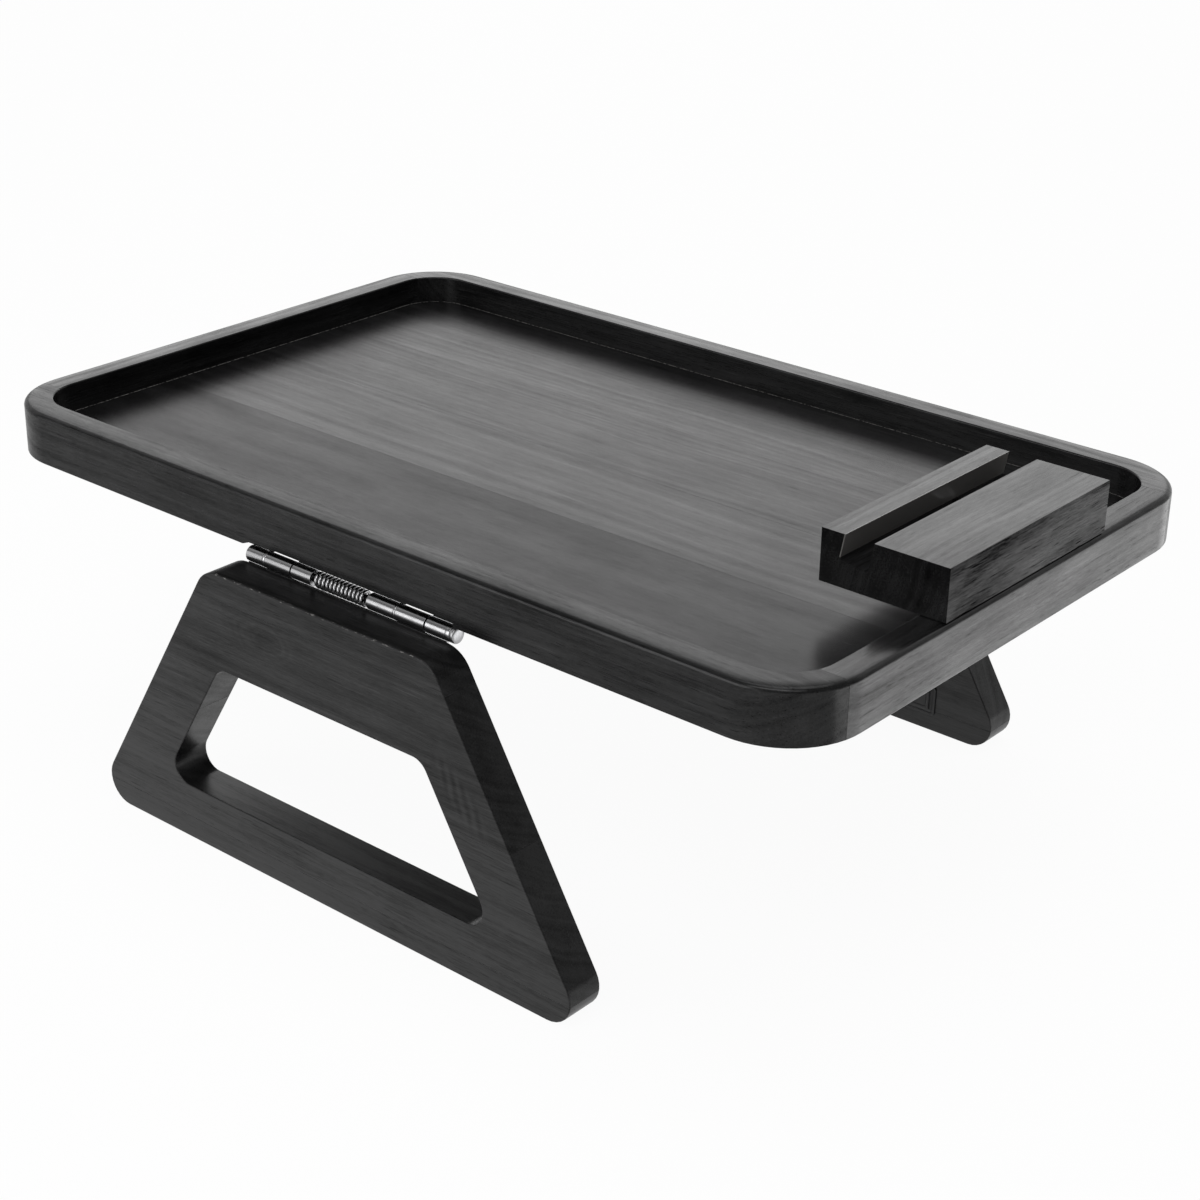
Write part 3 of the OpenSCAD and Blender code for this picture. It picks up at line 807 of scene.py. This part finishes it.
def knuckle_outline(sizes, low_neck):
    """Rolled knuckle of the tray leaf with its neck and the slit where the roll closes, as [y, z] points."""
    outer, inner = sizes.knuckle_r, sizes.pin_r + 0.05 * MM
    end = 4.0 * MM
    points = [(end, HINGE_HIGH), (0.95 * MM, HINGE_HIGH)]
    points += arc((0.0, 0.0), outer, 73, 394, 40)
    points += arc((0.0, 0.0), inner, 394, 75, 36)
    points += [(1.2 * MM, low_neck - 0.15 * MM), (1.8 * MM, low_neck), (end, low_neck)]
    return points


def leg_knuckle_outline(sizes):
    """Rolled knuckle of the leg leaf: the plate's outer face runs straight into the roll."""
    outer, inner = sizes.knuckle_r, sizes.pin_r + 0.05 * MM
    end = -4.0 * MM
    inside = sizes.leaf_t - PIN_IN
    points = [(inside, end), (-PIN_IN, end)]
    points += arc((0.0, 0.0), outer, 180 + math.degrees(math.acos(PIN_IN / outer)), -100, 40)
    points += arc((0.0, 0.0), inner, -100, 180 + math.degrees(math.acos(-inside / inner)), 36)
    return points


def joined_pieces(name, builds):
    """Union of solids as one piece."""
    pieces = [new_piece(f"{name}_{k}", build) for k, build in enumerate(builds)]
    whole = pieces[0]
    for other in pieces[1:]:
        combined(whole, other, "UNION")
    whole.name = name
    return whole


def box_build(low, high):
    build = bmesh.new()
    bmesh.ops.create_cube(build, size=1.0)
    for vertex in build.verts:
        vertex.co = Vector([lo + (hi - lo) * (c + 0.5) for lo, hi, c in zip(low, high, vertex.co)])
    return build


def countersink(sizes, place, outward):
    """Cutter for a screw's countersunk hole: its mouth is at place, and outward points out of the metal."""
    r, shank = sizes.screw_r + 0.05 * MM, 1.4 * MM
    build = lathe([(-2.0 * MM, 0.0), (-2.0 * MM, shank), (-1.3 * MM, shank), (0.0, r), (1.0 * MM, r), (1.0 * MM, 0.0)], 32)
    turn = Vector((1, 0, 0)).rotation_difference(outward).to_matrix().to_4x4()
    bmesh.ops.transform(build, matrix=Matrix.Translation(place) @ turn, verts=build.verts)
    return build


def leaf_screw_places(kind):
    """Where a leaf's screws stand and where their heads face, in hinge coordinates."""
    leaf_t = settings().hinge.leaf_t
    if kind == "tray":
        return [(Vector((x * MM, y * MM, HINGE_HIGH - leaf_t)), Vector((0, 0, -1))) for x, y in zip(SCREW_X, TRAY_SCREW_Y)]
    return [(Vector((x * MM, leaf_t - PIN_IN, z * MM)), Vector((0, 1, 0))) for x, z in zip(SCREW_X, LEG_SCREW_Z)]


def tray_leaf(name):
    sizes = settings().hinge
    low = HINGE_HIGH - sizes.leaf_t
    front = sizes.knuckle_r + LEAF_CLEAR
    plate = box_build((LEAF_END[0] * MM, front, low), (LEAF_END[1] * MM, LEAF_DEPTH, HINGE_HIGH))
    rolls = [prism_x(knuckle_outline(sizes, low), a * MM, b * MM) for a, b in TRAY_KNUCKLES]
    return joined_pieces(name, [plate] + rolls)


def leg_leaf(name):
    sizes = settings().hinge
    clear = sizes.knuckle_r + LEAF_CLEAR
    inside = sizes.leaf_t - PIN_IN
    start = 180 + math.degrees(math.acos(PIN_IN / clear))
    stop = 180 + math.degrees(math.acos(-inside / clear))
    outline = [(inside, -LEAF_DEPTH), (-PIN_IN, -LEAF_DEPTH)] + arc((0.0, 0.0), clear, start, stop, 8)
    plate = prism_x(outline, LEAF_END[0] * MM, LEAF_END[1] * MM)
    rolls = [prism_x(leg_knuckle_outline(sizes), a * MM, b * MM) for a, b in LEG_KNUCKLES]
    return joined_pieces(name, [plate] + rolls)


class SOFATRAY_OT_hinge_leaves(bpy.types.Operator):
    """Makes the leaves of both hinges, with rolled knuckles and countersunk holes"""

    bl_idname = "sofa_tray.hinge_leaves"
    bl_label = "Hinge leaves"

    def execute(self, context):
        sizes = settings().hinge
        steel = plated_steel("leaf_steel")
        for side in SIDES:
            for kind, make, body in (("tray", tray_leaf, "tray"), ("leg", leg_leaf, f"{side}_leg")):
                node = f"{side}_hinge_{kind}_leaf"
                piece = make(node + "_metal")
                for place, outward in leaf_screw_places(kind):
                    combined(piece, new_piece("cutter", countersink(sizes, place, outward)), "DIFFERENCE")
                piece.data.transform(hinge_place(side))
                smoothed(piece, 0.14 * MM, 2, 40.0)
                hand_over(piece, body, steel, node)
        return {"FINISHED"}


class SOFATRAY_OT_hinge_pins(bpy.types.Operator):
    """Makes the hinge pins with their domed heads, and the washers beside the knuckles"""

    bl_idname = "sofa_tray.hinge_pins"
    bl_label = "Hinge pins and washers"

    def execute(self, context):
        sizes = settings().hinge
        steel = plated_steel("washer_steel", 1.1)
        head, tail = 49.5, -47.9
        # The pin's shaft, up to just short of the head, is painted dark as painted shade in the knuckle gaps.
        pin_steel = plated_steel("pin_steel", 1.0, 0.3, head - 0.3)
        r = sizes.pin_r / MM
        profile = [(tail - 0.8, 0.0), (tail - 0.8, 1.3), (tail - 0.55, 1.85), (tail - 0.2, 2.15), (tail, 2.2), (tail, r),
                   (head, r), (head, 2.85), (head + 0.12, 3.0), (head + 1.2, 3.0), (head + 1.45, 2.88),
                   (head + 1.65, 2.55), (head + 1.8, 1.9), (head + 1.88, 1.0), (head + 1.9, 0.0)]
        for side in SIDES:
            pin = new_piece(f"{side}_hinge_pin_metal", lathe([(x * MM, radius * MM) for x, radius in profile]))
            rings = bmesh.new()
            for start, end in WASHERS:
                ring = tube_x(start * MM, end * MM, sizes.knuckle_r + 0.05 * MM, sizes.pin_r + 0.05 * MM, 0.12 * MM)
                mesh = bpy.data.meshes.new("ring")
                ring.to_mesh(mesh)
                ring.free()
                rings.from_mesh(mesh)
                bpy.data.meshes.remove(mesh)
            washers = new_piece(f"{side}_hinge_washers_metal", rings)
            for piece, finish, node in ((pin, pin_steel, "pin"), (washers, steel, "washers")):
                piece.data.transform(hinge_place(side))
                smoothed(piece)
                hand_over(piece, "tray", finish, f"{side}_hinge_{node}")
        return {"FINISHED"}


WIRE_START = 9.1 * MM
WIRE_END = -14.1 * MM
WIRE_GRIP = 0.7 * MM


def wire_path():
    """Middle line of the spring in hinge coordinates, in metres: tray end, helix, leg end."""
    sizes = settings().hinge
    r = sizes.knuckle_r - sizes.wire_d / 2
    start, end, turns, per_turn = WIRE_START, WIRE_END, 12.75, 24
    reach, bend = 6.2 * MM, 1.3 * MM
    leaf_y = sizes.leaf_t - PIN_IN
    out = leaf_y + 2.8 * MM
    path = [(start, reach, HINGE_HIGH - sizes.leaf_t)]
    path += [(start, y, z) for y, z in arc((reach - bend, bend - r), bend, 0, -90, 8)]
    path += [(start, bend, -r)]
    count = round(turns * per_turn)
    for k in range(count + 1):
        a = math.radians(270 - 360 * k / per_turn)
        path.append((start + (end - start) * k / count, r * math.cos(a), r * math.sin(a)))
    path += [(end, (r + out) / 2, -reach / 2)]
    path += [(end, y, z) for y, z in arc((out - bend, -reach), bend, 0, -90, 8)]
    path += [(end, leaf_y, -reach - bend)]
    return path


def wire_tree():
    """Geometry nodes that sweep a round wire along a line of edges."""
    tree = bpy.data.node_groups.new("Spring wire", "GeometryNodeTree")
    tree.interface.new_socket("Line", in_out="INPUT", socket_type="NodeSocketGeometry")
    width = tree.interface.new_socket("Radius", in_out="INPUT", socket_type="NodeSocketFloat")
    finish = tree.interface.new_socket("Material", in_out="INPUT", socket_type="NodeSocketMaterial")
    tree.interface.new_socket("Wire", in_out="OUTPUT", socket_type="NodeSocketGeometry")
    graph = Graph(tree)
    given = graph.node("NodeGroupInput")
    line = graph.node("GeometryNodeMeshToCurve", {}, {"Mesh": given.outputs["Line"]})
    ring = graph.node("GeometryNodeCurvePrimitiveCircle", {"mode": "RADIUS"},
                      {"Resolution": 14, "Radius": given.outputs["Radius"]})
    tube = graph.node("GeometryNodeCurveToMesh", {}, {
        "Curve": line.outputs[0], "Profile Curve": ring.outputs[0], "Fill Caps": True})
    smooth = graph.node("GeometryNodeSetShadeSmooth", {}, {"Geometry": tube.outputs[0]})
    real = graph.node("GeometryNodeRealizeInstances", {}, {"Geometry": smooth.outputs[0]})
    painted = graph.node("GeometryNodeSetMaterial", {}, {
        "Geometry": real.outputs[0], "Material": given.outputs["Material"]})
    graph.node("NodeGroupOutput", {}, {0: painted.outputs[0]})
    return tree, width.identifier, finish.identifier


class SOFATRAY_OT_springs(bpy.types.Operator):
    """Makes the coil springs round the hinge pins"""

    bl_idname = "sofa_tray.springs"
    bl_label = "Springs"

    def execute(self, context):
        steel = plated_steel("spring_wire_steel", 1.15)
        tree, width, finish = wire_tree()
        for side in SIDES:
            build = bmesh.new()
            points = [build.verts.new(hinge_place(side) @ Vector(point)) for point in wire_path()]
            for one, two in zip(points, points[1:]):
                build.edges.new((one, two))
            mesh = bpy.data.meshes.new(f"{side}_hinge_spring_wire")
            build.to_mesh(mesh)
            build.free()
            piece = bpy.data.objects.new(mesh.name, mesh)
            bpy.context.scene.collection.objects.link(piece)
            sweep = piece.modifiers.new("Wire", "NODES")
            sweep.node_group = tree
            sweep[width] = settings().hinge.wire_d / 2
            sweep[finish] = steel
            settled(piece)
            finish_piece(piece, steel, f"{side}_hinge_spring")
            start, end = (hinge_place(side) @ Vector((x, 0.0, 0.0)) for x in (WIRE_START - WIRE_GRIP, WIRE_END + WIRE_GRIP))
            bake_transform(piece)
        return {"FINISHED"}


def cross_cutter(length, width, low, high):
    """Cross-shaped solid along X, for the recess in a screw's head."""
    half, arm = width / 2, length / 2
    outline = [(half, half), (half, arm), (-half, arm), (-half, half), (-arm, half), (-arm, -half), (-half, -half),
               (-half, -arm), (half, -arm), (half, -half), (arm, -half), (arm, half)]
    return prism_x(outline, low, high)


def countersunk_screw():
    """One screw along -X with its head's face at the origin."""
    r = settings().hinge.screw_r / MM
    profile = [(0.0, 0.0), (0.0, r - 0.15), (-0.12, r), (-1.3, 1.3), (-5.5, 1.3), (-7.0, 0.0)]
    screw = new_piece("screw_pattern", lathe([(x * MM, radius * MM) for x, radius in profile], 32))
    cut = cross_cutter(r * 1.15 * MM, 0.75 * MM, -0.9 * MM, 1.0 * MM)
    combined(screw, new_piece("cutter", cut), "DIFFERENCE")
    return smoothed(screw, 0.05 * MM, 1, 40.0)


def screw_tree():
    """Geometry nodes that put one screw at each point, all turned by one given rotation and each spun at random about
    its own axis.
    """
    tree = bpy.data.node_groups.new("Screws", "GeometryNodeTree")
    tree.interface.new_socket("Points", in_out="INPUT", socket_type="NodeSocketGeometry")
    screw = tree.interface.new_socket("Screw", in_out="INPUT", socket_type="NodeSocketObject")
    turn = tree.interface.new_socket("Turn", in_out="INPUT", socket_type="NodeSocketVector")
    finish = tree.interface.new_socket("Material", in_out="INPUT", socket_type="NodeSocketMaterial")
    tree.interface.new_socket("Screws", in_out="OUTPUT", socket_type="NodeSocketGeometry")
    graph = Graph(tree)
    given = graph.node("NodeGroupInput")
    pattern = graph.node("GeometryNodeObjectInfo", {}, {"Object": given.outputs["Screw"]})
    points = graph.node("GeometryNodeMeshToPoints", {}, {"Mesh": given.outputs["Points"]})
    spin = graph.node("FunctionNodeRandomValue", {"data_type": "FLOAT"}, {"Min": 0.0, "Max": 3.1, "Seed": 7})
    placed = graph.node("GeometryNodeInstanceOnPoints", {}, {
        "Points": points.outputs[0], "Instance": pattern.outputs["Geometry"], "Rotation": given.outputs["Turn"]})
    own = graph.node("ShaderNodeCombineXYZ", {}, {0: spin.outputs["Value"]})
    turned = graph.node("GeometryNodeRotateInstances", {}, {"Instances": placed.outputs[0], "Rotation": own.outputs[0]})
    real = graph.node("GeometryNodeRealizeInstances", {}, {"Geometry": turned.outputs[0]})
    painted = graph.node("GeometryNodeSetMaterial", {}, {
        "Geometry": real.outputs[0], "Material": given.outputs["Material"]})
    graph.node("NodeGroupOutput", {}, {0: painted.outputs[0]})
    return tree, screw.identifier, turn.identifier, finish.identifier


class SOFATRAY_OT_screws(bpy.types.Operator):
    """Puts the countersunk screws in the hinge leaves"""

    bl_idname = "sofa_tray.screws"
    bl_label = "Screws"

    def execute(self, context):
        steel = plated_steel("screw_steel", 0.95)
        pattern = countersunk_screw()
        tree, screw, turn, finish = screw_tree()
        for side in SIDES:
            place = hinge_place(side)
            for kind, body in (("tray", "tray"), ("leg", f"{side}_leg")):
                node = f"{side}_{kind}_leaf_screws"
                spots = leaf_screw_places(kind)
                mesh = bpy.data.meshes.new(node + "_metal")
                mesh.from_pydata([place @ spot for spot, _ in spots], [], [])
                piece = bpy.data.objects.new(mesh.name, mesh)
                bpy.context.scene.collection.objects.link(piece)
                outward = place.to_3x3() @ spots[0][1]
                scatter = piece.modifiers.new("Screws", "NODES")
                scatter.node_group = tree
                scatter[screw] = pattern
                scatter[turn] = Vector((1, 0, 0)).rotation_difference(outward).to_euler()
                scatter[finish] = steel
                settled(piece)
                hand_over(piece, body, steel, node)
        bpy.data.objects.remove(pattern)
        return {"FINISHED"}


SLOT_W = 10.75 * MM
SLOT_TOP = 14.55 * MM
SLOT_DEPTH = 9.6 * MM
SLOT_LEAN = math.radians(10)


def block_outline(low, high):
    """End of the phone holder's block with its leaning slot, as [x, z] points."""
    along = Vector((math.sin(SLOT_LEAN), math.cos(SLOT_LEAN)))
    across = Vector((along.y, -along.x))
    mouth = Vector((low.x + SLOT_TOP, high.z))
    walls = []
    for sign in (-1, 1):
        wall = mouth + across * sign * SLOT_W / 2
        top = wall + along * ((high.z - wall.y) / along.y)
        walls.append((top, wall - along * SLOT_DEPTH))
    (left_top, left_foot), (right_top, right_foot) = walls
    points = [Vector((low.x, low.z)), Vector((high.x, low.z)), Vector((high.x, high.z)), right_top, right_foot,
              left_foot, left_top, Vector((low.x, high.z))]
    return [(p.x, p.y) for p in points]


class SOFATRAY_OT_phone_holder(bpy.types.Operator):
    """Makes the slotted block of the phone holder"""

    bl_idname = "sofa_tray.phone_holder"
    bl_label = "Phone holder"

    def execute(self, context):
        low, high = (Vector(corner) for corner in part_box("phone_holder_block"))
        outline = block_outline(low, high)
        build = loft([[(x, y, z) for x, z in outline] for y in (low.y, high.y)], closed=False)
        piece = new_piece("phone_holder_wood", build)
        swivel = Vector(next(j for j in frame["joints"] if j["name"] == "phone_holder_swivel")["pos_m"])
        seat = low.z + 8.1 * MM
        slot_floor = high.z - SLOT_DEPTH * math.cos(SLOT_LEAN) + SLOT_W / 2 * math.sin(SLOT_LEAN)
        for radius, start, end in ((5.3 * MM, seat, slot_floor), (2.6 * MM, low.z - MM, seat + MM)):
            cut = lathe([(start, 0.0), (start, radius), (end, radius), (end, 0.0)], 64)
            turn = Matrix.Translation((swivel.x, swivel.y, 0.0)) @ Matrix.Rotation(-math.pi / 2, 4, "Y")
            bmesh.ops.transform(cut, matrix=turn, verts=cut.verts)
            combined(piece, new_piece("cutter", cut), "DIFFERENCE")
        smoothed(piece, 0.35 * MM, 3, 40.0)
        # On the block, the side and slot-floor marks are painted shade, and the slot's left wall is drawn paler.
        stain = stained_wood("phone_holder_stain", "Y", 71.0, 1.2, 0.5, 0.2, (12.0, -190.0),
                             (block_side_painted_shade, slot_floor_painted_shade), slot_wall)
        hand_over(piece, "phone_holder", stain, "phone_holder_block")
        return {"FINISHED"}


class SOFATRAY_OT_swivel(bpy.types.Operator):
    """Makes the screw, washer and post that the phone holder turns on"""

    bl_idname = "sofa_tray.swivel"
    bl_label = "Swivel"

    def execute(self, context):
        steel = plated_steel("swivel_steel", 0.5)
        low, high = (Vector(corner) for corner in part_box("swivel_screw"))
        middle = (low + high) / 2
        stand = Matrix.Translation((middle.x, middle.y, 0.0)) @ Matrix.Rotation(-math.pi / 2, 4, "Y")
        top, r = high.z, (high.x - low.x) / 2
        head = [(low.z, 0.0), (low.z, 2.1 * MM), (low.z + 0.5 * MM, 2.5 * MM), (top - 2.1 * MM, 2.5 * MM),
                (top - 2.1 * MM, r - 0.1 * MM), (top - 2.0 * MM, r), (top - 1.1 * MM, r), (top - 0.7 * MM, r * 0.93),
                (top - 0.3 * MM, r * 0.75), (top - 0.1 * MM, r * 0.5), (top, r * 0.25), (top, 0.0)]
        screw = new_piece("swivel_screw_metal", lathe(head))
        cut = cross_cutter(r * 0.95, 0.9 * MM, top - 1.4 * MM, top + MM)
        combined(screw, new_piece("cutter", cut), "DIFFERENCE")
        washer_low, washer_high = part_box("swivel_washer")
        washer_r = (washer_high[0] - washer_low[0]) / 2
        washer = new_piece("swivel_washer_metal", tube_x(washer_low[2], washer_high[2], washer_r, 2.5 * MM, 0.15 * MM))
        post_low, post_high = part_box("swivel_post")
        post_r = (post_high[0] - post_low[0]) / 2
        post = new_piece("swivel_post_wood", tube_x(post_low[2], post_high[2], post_r, 2.5 * MM, 0.6 * MM))
        for piece, material, slot, node in (
                (screw, steel, "steel", "swivel_screw"), (washer, steel, "steel", "swivel_washer"),
                (post, stained_wood("swivel_post_stain", "Z", 83.0), "stained_wood", "swivel_post")):
            piece.data.transform(stand)
            smoothed(piece)
            hand_over(piece, "tray", material, node)
        return {"FINISHED"}


class SOFATRAY_OT_hidden_pieces(bpy.types.Operator):
    """Finishes the pieces that stay as the frame has them: corner dowels and threaded insert"""

    bl_idname = "sofa_tray.hidden_pieces"
    bl_label = "Dowels and insert"

    def execute(self, context):
        dress("corner_dowels", plain_finish("dowel_beech", (0.5, 0.36, 0.2), 0.6, 0.0, 0.8))
        dress("threaded_insert", plain_finish("insert_brass", (0.6, 0.45, 0.18), 0.35, 1.0, 2.0))
        return {"FINISHED"}


def backdrop_finish():
    """White floor: plain white to the camera and in reflections, with the object's shadow kept."""
    white = settings().finish.backdrop
    paint = Paint("studio_floor")
    ray = paint.node("ShaderNodeLightPath")
    seen = Value(paint, ray.outputs["Is Camera Ray"])
    seen = seen.math("MAXIMUM", Value(paint, ray.outputs["Is Glossy Ray"]))
    seen = seen.math("MAXIMUM", Value(paint, ray.outputs["Is Transmission Ray"]))
    matt = paint.node("ShaderNodeBsdfDiffuse", {}, {"Color": rgba(white)})
    glow = paint.node("ShaderNodeEmission", {}, {"Color": (1.0, 1.0, 1.0, 1.0), "Strength": 1.0})
    both = paint.node("ShaderNodeMixShader", {}, {0: seen * 0.95, 1: matt.outputs[0], 2: glow.outputs[0]})
    paint.node("ShaderNodeOutputMaterial", {}, {"Surface": both.outputs[0]})
    return paint.material


def soft_box(name, place, aim, width, height, watts):
    """Rectangular lamp that faces a point."""
    lamp = bpy.data.lights.new(name, "AREA")
    lamp.shape = "RECTANGLE"
    lamp.size, lamp.size_y = width, height
    lamp.energy = watts
    holder = bpy.data.objects.new(name, lamp)
    holder.location = place
    holder.rotation_euler = (Vector(place) - Vector(aim)).to_track_quat("Z", "Y").to_euler()
    bpy.context.scene.collection.objects.link(holder)
    return holder


class SOFATRAY_OT_studio(bpy.types.Operator):
    """Sets up the white floor, the lamps, the room light and the camera"""

    bl_idname = "sofa_tray.studio"
    bl_label = "Studio"

    def execute(self, context):
        studio = settings().studio
        scene = context.scene
        scene.view_settings.view_transform = "Standard"
        build = bmesh.new()
        bmesh.ops.create_grid(build, x_segments=1, y_segments=1, size=4.0)
        floor = new_piece("studio_floor", build)
        floor.data.materials.append(backdrop_finish())

        world = bpy.data.worlds.new("studio_room")
        world.use_nodes = True
        graph = Graph(world.node_tree)
        ray = graph.node("ShaderNodeLightPath")
        seen = Value(graph, ray.outputs["Is Camera Ray"])
        seen = seen.math("MAXIMUM", Value(graph, ray.outputs["Is Glossy Ray"]))
        seen = seen.math("MAXIMUM", Value(graph, ray.outputs["Is Transmission Ray"]))
        mirrored = Value(graph, ray.outputs["Is Glossy Ray"])
        toward = graph.node("ShaderNodeSeparateXYZ", {}, {0: graph.node("ShaderNodeTexCoord").outputs["Generated"]})
        x, y, z = (Value(graph, socket) for socket in toward.outputs)
        wall = (y * 0.77 - x * 0.64).between(0.0, 0.5) * (1.0 - z.between(0.55, 1.1))
        strength = seen * (1.0 - studio.world) + studio.world - (1.0 - wall) * mirrored * 0.78
        light = graph.node("ShaderNodeBackground", {}, {"Color": (1.0, 1.0, 1.0, 1.0), "Strength": strength})
        graph.node("ShaderNodeOutputWorld", {}, {"Surface": light.outputs[0]})
        scene.world = world

        middle = (0.0, 0.0, 0.1)
        soft_box("left_back_lamp", (-1.25, 1.5, 1.0), middle, 1.9, 1.2, 9.0)
        soft_box("table_lamp", (0.45, 0.3, 0.004), (0.45, 0.3, 1.0), 0.5, 0.7, 2.0)
        soft_box("top_lamp", (0.1, 0.2, 2.2), middle, 1.6, 1.6, 16.0)
        soft_box("front_wide_lamp", (-0.65, -1.61, 0.46), middle, 2.4, 0.9, 6.0)
        soft_box("front_lamp", (-0.50, -1.52, 0.5), middle, 1.2, 0.9, 7.5)
        soft_box("front_high_lamp", (0.45, -1.15, 1.5), middle, 1.1, 0.6, 7.0)
        soft_box("right_lamp", (0.92, -0.75, 1.07), middle, 0.5, 0.5, 1.6)

        camera = bpy.data.cameras.new("camera")
        camera.sensor_width = 36.0
        camera.lens = studio.lens
        camera.clip_start = 0.01
        camera.clip_end = 50.0
        holder = bpy.data.objects.new("camera", camera)
        holder.location = (studio.camera_x, studio.camera_y, studio.camera_z)
        holder.rotation_euler = (studio.tilt, studio.roll, studio.turn)
        scene.collection.objects.link(holder)
        scene.camera = holder
        return {"FINISHED"}


class SOFATRAY_PT_pieces(bpy.types.Panel):
    """Lists the operators that make the tray"""

    bl_idname = "SOFATRAY_PT_pieces"
    bl_label = "Sofa arm tray"
    bl_space_type = "VIEW_3D"
    bl_region_type = "UI"
    bl_category = "Sofa Tray"

    def draw(self, context):
        for operator in OPERATORS:
            self.layout.operator(operator.bl_idname)


OPERATORS = (
    SOFATRAY_OT_rails, SOFATRAY_OT_floor, SOFATRAY_OT_legs, SOFATRAY_OT_grip_pads, SOFATRAY_OT_hinge_leaves,
    SOFATRAY_OT_hinge_pins, SOFATRAY_OT_springs, SOFATRAY_OT_screws, SOFATRAY_OT_phone_holder, SOFATRAY_OT_swivel,
    SOFATRAY_OT_hidden_pieces, SOFATRAY_OT_studio)
CLASSES = (TraySizes, LegSizes, HingeSizes, Finishes, Studio, SofaTray) + OPERATORS + (SOFATRAY_PT_pieces,)


def register():
    for item in CLASSES:
        bpy.utils.register_class(item)
    bpy.types.Scene.sofa_tray = bpy.props.PointerProperty(type=SofaTray)


def unregister():
    del bpy.types.Scene.sofa_tray
    for item in reversed(CLASSES):
        bpy.utils.unregister_class(item)


def main():
    register()
    for operator in OPERATORS:
        group, name = operator.bl_idname.split(".")
        getattr(getattr(bpy.ops, group), name)()


if __name__ == "__main__":
    main()
